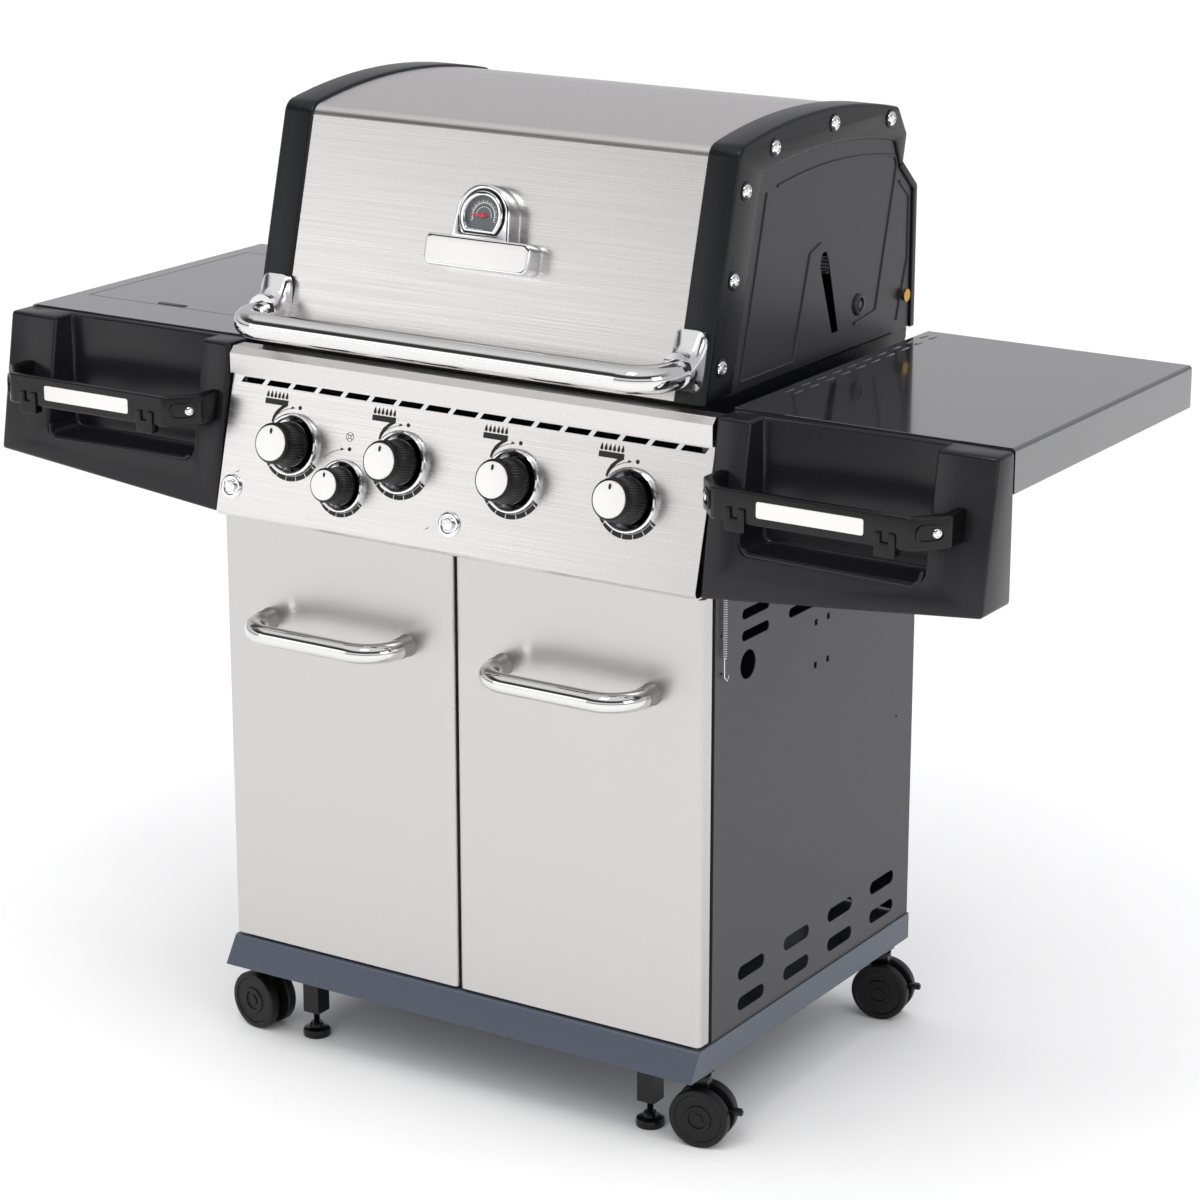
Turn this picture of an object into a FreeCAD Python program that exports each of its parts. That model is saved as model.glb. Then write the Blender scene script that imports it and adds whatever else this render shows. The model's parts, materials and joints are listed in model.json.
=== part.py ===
"""A four-burner gas barbecue grill on a two-door cart, as a parametric FreeCAD document.

Frame: millimetres, +Z up, +X to the right of someone facing the grill, -Y to the front.
The origin is on the floor under the middle of the grill. Every driving size is a cell of the
Sizes sheet, and every sub-part is bound to those cells.
"""
import FreeCAD, Part
import math
import os

import Sketcher

SIZES = {
    # whole grill
    "half_width": 710.0, "front_edge": -314.0, "rear_edge": 314.0,
    # cart: cabinet, tray and doors
    "cabinet_half": 350.0, "cabinet_front": -210.5, "cabinet_rear": 292.0, "cabinet_top": 877.0,
    "sheet": 1.5, "flange": 20.0, "tray_lap": 2.0, "tray_bottom": 100.0, "tray_top": 135.0,
    "tray_rear": 294.0, "apron_lean": 22.0, "door_front": -240.0, "door_thick": 22.0, "door_gap": 2.0,
    "door_foot_gap": 4.0, "door_top": 700.0, "door_edge_round": 6.0, "door_pin_inset": 11.0,
    "door_pin_reach": 13.0, "door_pin_radius": 4.0, "door_block": 18.0, "pin_play": 0.06,
    "grip_radius": 12.5, "grip_half": 105.0, "grip_bend": 44.0, "grip_height": 575.0, "grip_shift": 176.0,
    # side panel vents
    "vent_length": 64.0, "vent_height": 18.0, "vent_pitch": 112.0, "vent_row": 40.0, "vent_first": -117.0,
    "vent_low": 162.0, "vent_high": 632.0, "high_vent_row": 27.0, "high_vent_height": 13.0,
    "hose_radius": 18.0, "hose_back": -134.0, "hose_up": 595.0, "screw_hole": 2.0,
    "hatch_back": 31.0, "hatch_wide": 31.0, "hatch_low": 549.0, "hatch_high": 604.0,
    "back_top": 620.0,
    # control panel and top rail
    "panel_foot": -256.5, "panel_low": 709.0, "panel_head": -213.0, "panel_lip": 703.5, "lip_rear": -221.0,
    "panel_side_gap": 1.0, "rail_front": -220.0, "rail_top": 912.0, "rail_low": 879.0, "rail_chamfer": 8.0,
    "slit_length": 33.0, "slit_height": 7.0, "slit_lean": 5.0, "slit_pitch": 40.0, "slit_rise": 868.0,
    # knobs, stems and buttons
    "knob_pitch": 163.3, "knob_up": 803.0, "knob_radius": 28.5, "knob_taper": 2.5, "knob_base": 4.5,
    "knob_length": 41.0, "cap_radius": 22.0, "cap_thick": 2.5, "small_knob_up": 764.0, "small_share": 0.84,
    "stem_radius": 4.0, "stem_inside": 24.0, "stem_outside": 22.0, "stem_hole": 6.0, "push_travel": 3.0,
    "valve_radius": 13.0, "valve_length": 44.0, "valve_gap": 4.0, "manifold_radius": 8.0,
    "button_radius": 8.0, "button_out": 5.0, "button_in": 8.0, "button_up": 741.0, "button_side": -330.0,
    "button_play": 0.4,
    # cookbox and what it holds
    "box_side_gap": 28.0, "box_front": -189.0, "box_rear": 303.0, "box_top": 918.0, "box_low": 722.0,
    "box_wall": 5.0, "box_lean": 60.0, "drain_half": 120.0, "ledge_wide": 10.0, "ledge_up": 862.0,
    "ledge_thick": 6.0, "burner_radius": 16.0, "burner_up": 800.0, "burner_front": -169.0,
    "burner_rear": 257.0, "tamer_half": 56.0, "tamer_low": 830.0, "tamer_high": 856.0, "grate_thick": 12.0,
    "grate_gap": 2.0, "grate_bar": 9.0, "grate_slot": 9.0, "grate_rim": 12.0, "rack_up": 1010.0,
    "rack_front": 97.0, "rack_rear": 237.0, "rack_half": 290.0, "rack_wire": 2.5, "rack_rods": 8.0,
    "grease_half": 150.0, "grease_low": 684.0, "grease_high": 709.0, "grease_front": -83.0,
    "grease_rear": 307.0, "grease_flange": 8.0, "runner_play": 0.4, "runner_thick": 3.0,
    # lid
    "lid_side_gap": 23.0, "band_width": 44.0, "lid_low": 919.5, "lid_foot": -200.0, "fold_back": -123.5,
    "fold_up": 1207.5, "fold_round": 18.0, "crown_radius": 900.0, "crown_end": 261.0, "crown_drop": 3.5,
    "rear_lip": 284.0, "rear_lip_drop": 39.5, "rear_notch": 276.0,
    "rear_notch_drop": 74.5, "lobe_drop": 107.5, "rear_wall_back": 273.0, "rear_wall_top": 1092.0,
    "skin_step": 3.0, "band_thick": 6.0, "end_plate": 4.0, "hinge_back": 285.0,
    "hinge_up": 964.0, "lid_pin_radius": 5.0, "pin_head": 8.0, "spit_back": 82.0, "spit_up": 1052.0,
    "spit_half": 30.0, "bolt_radius": 8.0, "bolt_high": 5.0, "bolt_inset": 25.0,
    "bar_radius": 17.0, "bar_inset": 28.0, "bar_front": -273.0, "bar_up": 958.0, "bar_bend": 40.0,
    "socket_end": -215.0, "socket_radius": 22.0,
    # thermometer on the lid
    "gauge_up": 1098.0, "gauge_arch": 38.0, "gauge_deep": 26.0, "plate_long": 150.0, "plate_high": 31.0,
    "dial_radius": 26.0, "dial_deep": 6.0, "needle_long": 17.0, "needle_wide": 2.4, "needle_lift": 2.0,
    # side shelves, end caps and tool rails
    "shelf_front": -175.0, "shelf_rear": 305.0, "shelf_top": 917.0, "shelf_skirt": 52.0, "shelf_round": 5.0,
    "cap_gap": 2.0, "cap_top": 915.0, "cap_head": -216.0, "cap_foot": -253.0, "cap_rear": -175.0,
    "cap_low_in": 706.0, "cap_low_out": 738.0, "cap_taper": 1.0, "cap_wall": 3.0, "niche_inner_wall": 45.0,
    "niche_outer_wall": 76.0, "niche_low": 766.0, "niche_back": -185.0,
    "hook_front": -300.0, "hook_low": 818.0, "hook_high": 856.0,
    "hook_thick": 12.0, "hook_inner_gap": 10.0, "hook_outer_gap": 32.0, "hook_arm": 15.0,
    # side burner under its flush cover
    "cover_inner_gap": 34.0, "cover_outer_gap": 26.0,
    "cover_front": -93.0, "cover_rear": 245.0, "cover_play": 1.5,
    "bowl_deep": 60.0, "bowl_inset": 6.0, "ring_radius": 42.0, "ring_high": 18.0, "trivet_high": 8.0,
    "knuckle_radius": 3.0, "knuckle_long": 30.0, "knuckle_pin": 1.5, "knuckle_span": 90.0,
    # casters and levelling feet
    "stem_inset": 20.0, "caster_front": -205.0, "caster_rear": 257.0, "caster_trail": 6.0,
    "wheel_radius": 38.0, "wheel_wide": 14.0, "hood_wide": 15.0, "hood_radius": 29.0, "axle_radius": 4.0,
    "side_play": 0.5, "neck_half": 11.0, "collar_up": 86.0, "collar_thick": 4.0, "post_radius": 5.5,
    "post_top": 126.0, "pedal_wide": 9.0, "pedal_reach": 56.0, "pedal_pivot": 28.0, "pedal_up": 46.0,
    "pedal_thick": 8.0, "pedal_pin": 2.0, "caster_turn": 10.0, "socket_half": 14.0, "socket_low": 91.0,
    "foot_inset": 74.0, "foot_back": -198.0, "foot_pad": 18.0, "foot_pad_high": 12.0, "foot_screw": 4.0,
    "foot_screw_top": 74.0, "foot_post_low": 34.0, "foot_post_half": 12.0, "foot_travel": 15.0,
}

# sizes that follow others, so that what they border moves with it
TIED = {
    "tray_half": "cabinet_half + tray_lap",
    "box_half": "cabinet_half - box_side_gap",
    "lid_half": "cabinet_half - lid_side_gap",
    "stem_side": "cabinet_half - stem_inset",
    "foot_side": "cabinet_half - stem_inset - foot_inset",
    "bar_half": "cabinet_half - lid_side_gap - bar_inset",
    "cap_inner": "cabinet_half + cap_gap",
    "hook_in": "cabinet_half + cap_gap + hook_inner_gap",
    "hook_out": "half_width - hook_outer_gap",
    "niche_in": "cabinet_half + cap_gap + niche_inner_wall",
    "niche_out": "half_width - niche_outer_wall",
    "cover_in": "cabinet_half + cap_gap + cover_inner_gap",
    "cover_out": "half_width - cover_outer_gap",
    "crown_end_up": "fold_up - crown_drop",
    "rear_lip_up": "fold_up - rear_lip_drop",
    "rear_notch_up": "fold_up - rear_notch_drop",
    "lobe_up": "fold_up - lobe_drop",
}

doc = FreeCAD.newDocument("gas_grill")
sheet = doc.addObject("Spreadsheet::Sheet", "Sizes")
for row, (alias, held) in enumerate([*SIZES.items(), *TIED.items()], start=1):
    sheet.set(f"A{row}", alias)
    sheet.set(f"B{row}", f"={held}" if alias in TIED else str(held))
    sheet.setAlias(f"B{row}", alias)
doc.recompute()

NODES = {}


def bound(text):
    """An expression with each alias replaced by its cell, such as Sizes.sheet."""
    words = []
    word = ""
    for letter in str(text) + " ":
        if letter.isalnum() or letter in "_.":
            word += letter
            continue
        words.append(f"Sizes.{word}" if word in SIZES or word in TIED else word)
        words.append(letter)
        word = ""
    return "".join(words).strip()


def value(text):
    """What an expression in the sheet's aliases comes to, in millimetres or as a plain number."""
    result = sheet.evalExpression(bound(text))
    return float(getattr(result, "Value", result))


def bind(thing, settings):
    """Ties properties of a document object to expressions."""
    for prop, text in settings.items():
        thing.setExpression(prop, bound(text))
    return thing


def node(label, thing):
    """Registers the document object whose shape is the sub-part called label."""
    thing.Label = label
    NODES[label] = thing
    return thing


# ---- primitives and booleans ------------------------------------------------------------------
def place(thing, at, turn=None):
    """Puts a primitive at three expressions, turned by a fixed rotation."""
    if turn is not None:
        thing.Placement = FreeCAD.Placement(FreeCAD.Vector(), turn)
    return bind(thing, {f"Placement.Base.{axis}": text for axis, text in zip("xyz", at)})


def box(name, low, high):
    """A box between two corners, each given as three expressions."""
    thing = doc.addObject("Part::Box", name)
    spans = [f"({b}) - ({a})" for a, b in zip(low, high)]
    bind(thing, dict(zip(("Length", "Width", "Height"), spans)))
    return place(thing, low)


TURNS = {
    "x": FreeCAD.Rotation(FreeCAD.Vector(0, 1, 0), 90),
    "y": FreeCAD.Rotation(FreeCAD.Vector(1, 0, 0), -90),
    "z": FreeCAD.Rotation(),
}


def rod(name, radius, length, at, along="z"):
    """A cylinder that starts at a point and runs along +X, +Y or +Z."""
    thing = bind(doc.addObject("Part::Cylinder", name), {"Radius": radius, "Height": length})
    return place(thing, at, TURNS[along])


def fuse(name, *things):
    """One solid from several that touch or overlap."""
    if len(things) == 1:
        return things[0]
    thing = doc.addObject("Part::MultiFuse", name)
    thing.Shapes = list(things)
    thing.Refine = True
    return thing


def group(name, *things):
    """Several separate solids in one object."""
    thing = doc.addObject("Part::Compound", name)
    thing.Links = list(things)
    return thing


def cut(name, base, *tools):
    """The base with the tools taken away, one shape at a time through one fused tool."""
    thing = doc.addObject("Part::Cut", name)
    thing.Base = base
    thing.Tool = tools[0] if len(tools) == 1 else fuse(name + "_tool", *tools)
    thing.Refine = True
    return thing


def mirrored(name, source):
    """The same piece on the other side of the grill's middle plane."""
    thing = doc.addObject("Part::Mirroring", name)
    thing.Source = source
    thing.Normal = FreeCAD.Vector(1, 0, 0)
    return thing


def round_edges(name, base, radius, wanted):
    """Rounds the edges of a primitive or boolean that the test wanted(edge) picks."""
    doc.recompute()
    thing = doc.addObject("Part::Fillet", name)
    thing.Base = base
    r = value(radius)
    picked = [i for i, edge in enumerate(base.Shape.Edges, start=1) if wanted(edge)]
    thing.Edges = [(i, r, r) for i in picked]
    return thing


def runs_along(edge, axis):
    """True for a straight edge parallel to an axis."""
    if not isinstance(edge.Curve, Part.Line):
        return False
    direction = edge.Curve.Direction
    return abs(abs(getattr(direction, axis)) - 1) < 1e-6


# ---- sketched profiles ------------------------------------------------------------------------
def new_sketch(body, name, plane, lift):
    """A sketch on one of a body's origin planes, lifted along the plane's normal."""
    support = next(f for f in body.Origin.OriginFeatures if f.Role == plane + "_Plane")
    sketch = body.newObject("Sketcher::SketchObject", name)
    sketch.AttachmentSupport = [(support, "")]
    sketch.MapMode = "FlatFace"
    return bind(sketch, {"AttachmentOffset.Base.z": lift})


def pin_point(sketch, geometry, end, x_text, y_text):
    """Holds one end of a sketch line or arc at two driving distances from the sketch's origin."""
    for kind, text in (("DistanceX", x_text), ("DistanceY", y_text)):
        index = sketch.addConstraint(Sketcher.Constraint(kind, -1, 1, geometry, end, value(text)))
        sketch.setExpression(f"Constraints[{index}]", bound(text))


def draw(sketch, points, closed=True):
    """Lines and arcs through points (x, y) or (x, y, radius, side), in the sketch's plane.

    A radius makes the stretch to the next point an arc that bulges to the left of the way it
    runs where side is 1, and to the right where side is -1.
    """
    stretches = len(points) if closed else len(points) - 1
    spots = [FreeCAD.Vector(value(p[0]), value(p[1]), 0) for p in points]
    ends = []
    for i in range(stretches):
        a, b = spots[i], spots[(i + 1) % len(spots)]
        if len(points[i]) == 2:
            shape = Part.LineSegment(a, b)
        else:
            radius, side = value(points[i][2]), points[i][3]
            half = (b - a).Length / 2
            rise = radius - math.sqrt(radius * radius - half * half)
            left = FreeCAD.Vector(-(b - a).y, (b - a).x, 0).normalize()
            shape = Part.Arc(a, (a + b) * 0.5 + left * (side * rise), b)
        index = sketch.addGeometry(shape)
        first = 1 if (sketch.getPoint(index, 1) - a).Length < 1e-6 else 2
        ends.append((index, first, 3 - first))
    for i in range(stretches):
        index, first, last = ends[i]
        pin_point(sketch, index, first, points[i][0], points[i][1])
        if i + 1 < stretches or closed:
            follow = ends[(i + 1) % stretches]
            sketch.addConstraint(Sketcher.Constraint("Coincident", index, last, follow[0], follow[1]))
        else:
            pin_point(sketch, index, last, points[-1][0], points[-1][1])
        if len(points[i]) == 4:
            held = sketch.addConstraint(Sketcher.Constraint("Radius", index, value(points[i][2])))
            sketch.setExpression(f"Constraints[{held}]", bound(points[i][2]))
    return sketch


def draw_circle(sketch, x_text, y_text, radius):
    """A circle held by its centre and radius."""
    centre = FreeCAD.Vector(value(x_text), value(y_text), 0)
    index = sketch.addGeometry(Part.Circle(centre, FreeCAD.Vector(0, 0, 1), value(radius)))
    pin_point(sketch, index, 3, x_text, y_text)
    held = sketch.addConstraint(Sketcher.Constraint("Radius", index, value(radius)))
    sketch.setExpression(f"Constraints[{held}]", bound(radius))
    return sketch


def feature(body, kind, name, sketch, length):
    """A Pad or Pocket of a sketch, along the sketch plane's normal."""
    thing = body.newObject(f"PartDesign::{kind}", name)
    thing.Profile = sketch
    bind(thing, {"Length": length})
    sketch.Visibility = False
    return thing


def prism(name, plane, low, high, points):
    """A body: a drawn outline carried from low to high along the axis across its plane."""
    body = doc.addObject("PartDesign::Body", name)
    lift = f"-({high})" if plane == "XZ" else low
    sketch = draw(new_sketch(body, name + "_outline", plane, lift), points)
    feature(body, "Pad", name + "_pad", sketch, f"({high}) - ({low})")
    return body


def rectangle(low, high):
    """The four corners of a rectangle from two opposite ones."""
    return [(low[0], low[1]), (high[0], low[1]), (high[0], high[1]), (low[0], high[1])]


def tube(name, radius, spine_points, plane, lift, start_plane, start_lift, centre):
    """A bent round bar: a circle carried along a spine of straight runs and tangent arcs."""
    body = doc.addObject("PartDesign::Body", name)
    spine = draw(new_sketch(body, name + "_spine", plane, lift), spine_points, closed=False)
    ring = draw_circle(new_sketch(body, name + "_ring", start_plane, start_lift), *centre, radius)
    pipe = body.newObject("PartDesign::AdditivePipe", name + "_pipe")
    pipe.Profile = ring
    pipe.Spine = (spine, [f"Edge{i}" for i in range(1, len(spine_points))])
    return body


# ---- frames that lean with the control panel and the lid ---------------------------------------
def lean_turn(run, rise):
    """The rotation whose local z stands out from a leaning front face and whose y runs up it."""
    return FreeCAD.Rotation(FreeCAD.Vector(1, 0, 0), 90 - math.degrees(math.atan2(run, rise)))


PANEL_RUN = "(panel_head - panel_foot)"
PANEL_RISE = "(cabinet_top - panel_low)"
PANEL_TURN = lean_turn(value(PANEL_RUN), value(PANEL_RISE))
LID_RUN = "(fold_back - lid_foot)"
LID_RISE = "(fold_up - lid_low)"
LID_TURN = lean_turn(value(LID_RUN), value(LID_RISE))


def on_panel(thing, x_text, z_text):
    """Stands a piece, built at the origin, on the control panel's face at a height."""
    y_text = f"panel_foot + ({z_text} - panel_low) * {PANEL_RUN} / {PANEL_RISE}"
    return place(thing, (x_text, y_text, z_text), PANEL_TURN)


def lid_face(z_text):
    """Where the lid's front face is at a height, front to back."""
    return f"lid_foot + skin_step + ({z_text} - lid_low) * {LID_RUN} / {LID_RISE}"


# ---- cart ------------------------------------------------------------------------------------
def base_tray():
    """The pan that the cabinet stands on, with a leaning apron at the front."""
    apron_foot = "door_front - apron_lean"
    outer = prism("tray_outer", "YZ", "-tray_half", "tray_half", [
        (apron_foot, "tray_bottom"), ("tray_rear", "tray_bottom"),
        ("tray_rear", "tray_top"), ("door_front", "tray_top")])
    inner = prism("tray_inner", "YZ", "sheet - tray_half", "tray_half - sheet", [
        (f"{apron_foot} + sheet - 1 * apron_lean / (tray_top - tray_bottom)", "tray_bottom - 1"),
        ("tray_rear - sheet", "tray_bottom - 1"),
        ("tray_rear - sheet", "tray_top - sheet"),
        ("door_front + sheet * (1 - apron_lean / (tray_top - tray_bottom))", "tray_top - sheet")])
    rounded = round_edges("tray_rounded", outer, "7", lambda e: runs_along(e, "x")
                          and e.CenterOfMass.y < value("door_front") + 1
                          and e.CenterOfMass.z > value("tray_top") - 1)
    node("base_tray", cut("tray_cut", rounded, inner))


def side_panel():
    """A folded side wall, with its vents, hose hole and accessory holes; returns the right one."""
    low_x, high_x = "cabinet_half - flange", "cabinet_half"
    body = prism("panel_right_blank", "YZ", low_x, high_x,
                 rectangle(("cabinet_front", "tray_top"), ("cabinet_rear", "cabinet_top")))
    slots = new_sketch(body, "panel_vents", "YZ", high_x)
    for row in (0, 1):
        add_slot(slots, "vent_first", f"vent_low + {row} * vent_row", "vent_length", "vent_height")
        add_slot(slots, "vent_first", f"vent_high + {row} * high_vent_row", "vent_length", "high_vent_height")
    pocket = feature(body, "Pocket", "panel_vent_cut", slots, "flange")
    pattern = body.newObject("PartDesign::LinearPattern", "panel_vent_row")
    pattern.Originals = [pocket]
    pattern.Direction = (slots, ["H_Axis"])
    bind(pattern, {"Length": "3 * vent_pitch"})
    pattern.Occurrences = 4
    body.Tip = pattern
    holes = new_sketch(body, "panel_holes", "YZ", high_x)
    draw_circle(holes, "hose_back", "hose_up", "hose_radius")
    for y_text in ("hatch_back", "hatch_back + hatch_wide"):
        for z_text in ("hatch_low", "hatch_high"):
            draw(holes, rectangle((f"{y_text} - 3.5", f"{z_text} - 4"), (f"{y_text} + 3.5", f"{z_text} + 4")))
    for y_text, z_text in (("cabinet_front + 14", "hose_up + 5"), ("cabinet_front + 14", "hose_up + 51"),
                           ("cabinet_rear - 44", "hatch_low - 128")):
        draw_circle(holes, y_text, z_text, "screw_hole")
    feature(body, "Pocket", "panel_hole_cut", holes, "flange")
    inside = box("panel_inside", ("cabinet_half - flange - 1", "cabinet_front + sheet", "tray_top + sheet"),
                 ("cabinet_half - sheet", "cabinet_rear - sheet", "cabinet_top - sheet"))
    right = node("side_panel_right", cut("panel_right", body, inside))
    node("side_panel_left", mirrored("panel_left", right))


def add_slot(sketch, y_text, z_text, length, height):
    """A round-ended slot, centred on a point and running along the sketch's first axis."""
    left = f"{y_text} - ({length} - {height}) / 2"
    right = f"{y_text} + ({length} - {height}) / 2"
    low, high = f"{z_text} - {height} / 2", f"{z_text} + {height} / 2"
    middle = f"{z_text}"
    reach = f"{height} / 2"
    draw(sketch, [(left, low), (right, low, reach, -1), (f"{right} + {reach}", middle, reach, -1),
                  (right, high), (left, high, reach, -1), (f"{left} - {reach}", middle, reach, -1)])


def back_panel():
    """The lower rear wall, behind the side panels' rear flanges, with four vents."""
    body = prism("back_blank", "XZ", "cabinet_rear - 2 * sheet - 0.2", "cabinet_rear - sheet - 0.2",
                 rectangle(("sheet + 0.2 - cabinet_half", "tray_top + sheet + 0.2"),
                           ("cabinet_half - sheet - 0.2", "back_top")))
    slots = new_sketch(body, "back_vents", "XZ", "-(cabinet_rear - sheet - 0.2)")
    for column in (-1.5, -0.5, 0.5, 1.5):
        add_slot(slots, f"{column} * vent_pitch", "vent_low + vent_row", "vent_length", "vent_height")
    pocket = feature(body, "Pocket", "back_vent_cut", slots, "2 * sheet")
    pocket.Reversed = True
    node("back_panel", body)


def control_panel():
    """The leaning fascia with its rolled lower lip, vent slits and stem and button holes."""
    body = prism("fascia", "YZ", "panel_side_gap - cabinet_half", "cabinet_half - panel_side_gap", [
        ("panel_head", "cabinet_top"), ("panel_foot", "panel_low"),
        ("panel_foot + 2", "panel_lip + 2"), ("panel_foot + 6", "panel_lip"),
        ("lip_rear", "panel_lip"), ("lip_rear", "panel_lip + sheet"),
        ("panel_foot + 7", "panel_lip + sheet"), ("panel_foot + 3.4", "panel_lip + 3"),
        ("panel_foot + sheet + 0.2", "panel_low"), ("panel_head + sheet + 0.2", "cabinet_top")])
    slits = new_sketch(body, "slit_outline", "XZ", "-(panel_head - 30)")
    first = "-8 * slit_pitch - slit_length / 2"
    draw(slits, [(first, "slit_rise"), (f"{first} + slit_length", "slit_rise"),
                 (f"{first} + slit_length + slit_lean", "slit_rise + slit_height"),
                 (f"{first} + slit_lean", "slit_rise + slit_height")])
    pocket = feature(body, "Pocket", "slit_cut", slits, "60")
    pattern = body.newObject("PartDesign::LinearPattern", "slit_row")
    pattern.Originals = [pocket]
    pattern.Direction = (slits, ["H_Axis"])
    bind(pattern, {"Length": "16 * slit_pitch"})
    pattern.Occurrences = 17
    body.Tip = pattern
    tools = []
    for name, x_text, z_text, _ in KNOBS:
        hole = bind(doc.addObject("Part::Cylinder", f"hole_{name}"), {"Radius": "stem_hole", "Height": "20"})
        tools.append(on_panel(shifted(hole, "-10"), x_text, z_text))
    for name, x_text in BUTTONS:
        hole = bind(doc.addObject("Part::Cylinder", f"hole_{name}"),
                    {"Radius": "button_radius + button_play", "Height": "20"})
        tools.append(on_panel(shifted(hole, "-10"), x_text, "button_up"))
    node("control_panel", cut("fascia_cut", body, *tools))


KNOBS = [
    ("knob_1", "-1.5 * knob_pitch", "knob_up", "1"), ("knob_2", "-0.5 * knob_pitch", "knob_up", "1"),
    ("knob_3", "0.5 * knob_pitch", "knob_up", "1"), ("knob_4", "1.5 * knob_pitch", "knob_up", "1"),
    ("knob_side", "-knob_pitch", "small_knob_up", "small_share"),
]
BUTTONS = [("igniter_button", "0"), ("side_igniter_button", "button_side")]


def shifted(thing, lift):
    """The piece moved along its own z, wrapped so that it can be stood on a face afterwards."""
    bind(thing, {"Placement.Base.z": lift})
    return group(thing.Name + "_set", thing)


def local_rod(name, radius, low, high, taper="0"):
    """A cylinder or cone along z between two heights of a leaning frame."""
    if taper == "0":
        thing = bind(doc.addObject("Part::Cylinder", name), {"Radius": radius, "Height": f"({high}) - ({low})"})
    else:
        thing = bind(doc.addObject("Part::Cone", name), {
            "Radius1": radius, "Radius2": f"({radius}) - ({taper})", "Height": f"({high}) - ({low})"})
    return bind(thing, {"Placement.Base.z": low})


def knobs_and_stems():
    """Each knob is a grip and its metal cap; each valve stem slides when its knob is pressed."""
    for name, x_text, z_text, share in KNOBS:
        number = name.split("_")[1]
        top = f"knob_base + knob_length * {share}"
        grip = local_rod(name + "_grip", f"knob_radius * {share}", "knob_base", top, "knob_taper")
        bore = local_rod(name + "_bore", "stem_radius + pin_play", "0", "stem_outside + 1")
        cap = local_rod(name + "_cap", f"cap_radius * {share}", top, f"{top} + cap_thick")
        knob = group(name + "_pair", cut(name + "_cut", grip, bore), cap)
        node(name, on_panel(knob, x_text, z_text))
        stem = local_rod("stem_rod_" + number, "stem_radius", "-stem_inside", "stem_outside")
        node("valve_stem_" + number, on_panel(group("stem_set_" + number, stem), x_text, z_text))


def gas_manifold():
    """The gas rail behind the panel, with one valve body for each stem."""
    pieces = []
    for name, x_text, z_text, _ in KNOBS:
        back = "-valve_gap - valve_length"
        body = local_rod("valve_" + name, "valve_radius", back, "-valve_gap")
        bore = local_rod("valve_bore_" + name, "stem_radius + pin_play", "-stem_inside - 2 * push_travel", "1")
        pieces.append(on_panel(group("valve_set_" + name, cut("valve_cut_" + name, body, bore)),
                               x_text, z_text))
    lean = f"{PANEL_RUN} / {PANEL_RISE}"
    depth = "(valve_gap + valve_length - manifold_radius)"
    rail_y = f"panel_foot + (knob_up - panel_low) * {lean} + {depth}"
    rail_z = f"knob_up - {depth} * {lean} - manifold_radius"
    pieces.append(rod("gas_rail", "manifold_radius", "4 * knob_pitch - 20",
                      ("-2 * knob_pitch + 10", rail_y, rail_z), "x"))
    node("gas_manifold", fuse("manifold", *pieces))


def igniter_buttons():
    """Two press buttons, each with a head and a stem behind the panel."""
    for name, x_text in BUTTONS:
        head = local_rod(name + "_head", "button_radius", "-button_in", "button_out")
        node(name, on_panel(group(name + "_set", head), x_text, "button_up"))


def top_rail():
    """The bright folded rail between the control panel and the lid."""
    node("top_rail", prism("rail", "YZ", "panel_side_gap - cabinet_half", "cabinet_half - panel_side_gap", [
        ("box_front - 1", "rail_top"), ("rail_front + rail_chamfer", "rail_top"),
        ("rail_front", "rail_top - rail_chamfer"), ("rail_front", "rail_low"),
        ("panel_head - 4", "rail_low"), ("panel_head - 4", "rail_low + sheet"),
        ("rail_front + sheet", "rail_low + sheet"),
        ("rail_front + sheet", "rail_top - rail_chamfer - sheet / 2"),
        ("rail_front + rail_chamfer + sheet / 2", "rail_top - sheet"), ("box_front - 1", "rail_top - sheet")]))


# ---- doors -----------------------------------------------------------------------------------
PIN_X = "(cabinet_half - door_pin_inset)"
PIN_Y = "(door_front + door_thick / 2)"
DOOR_LOW = "(tray_top + door_foot_gap)"


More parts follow.
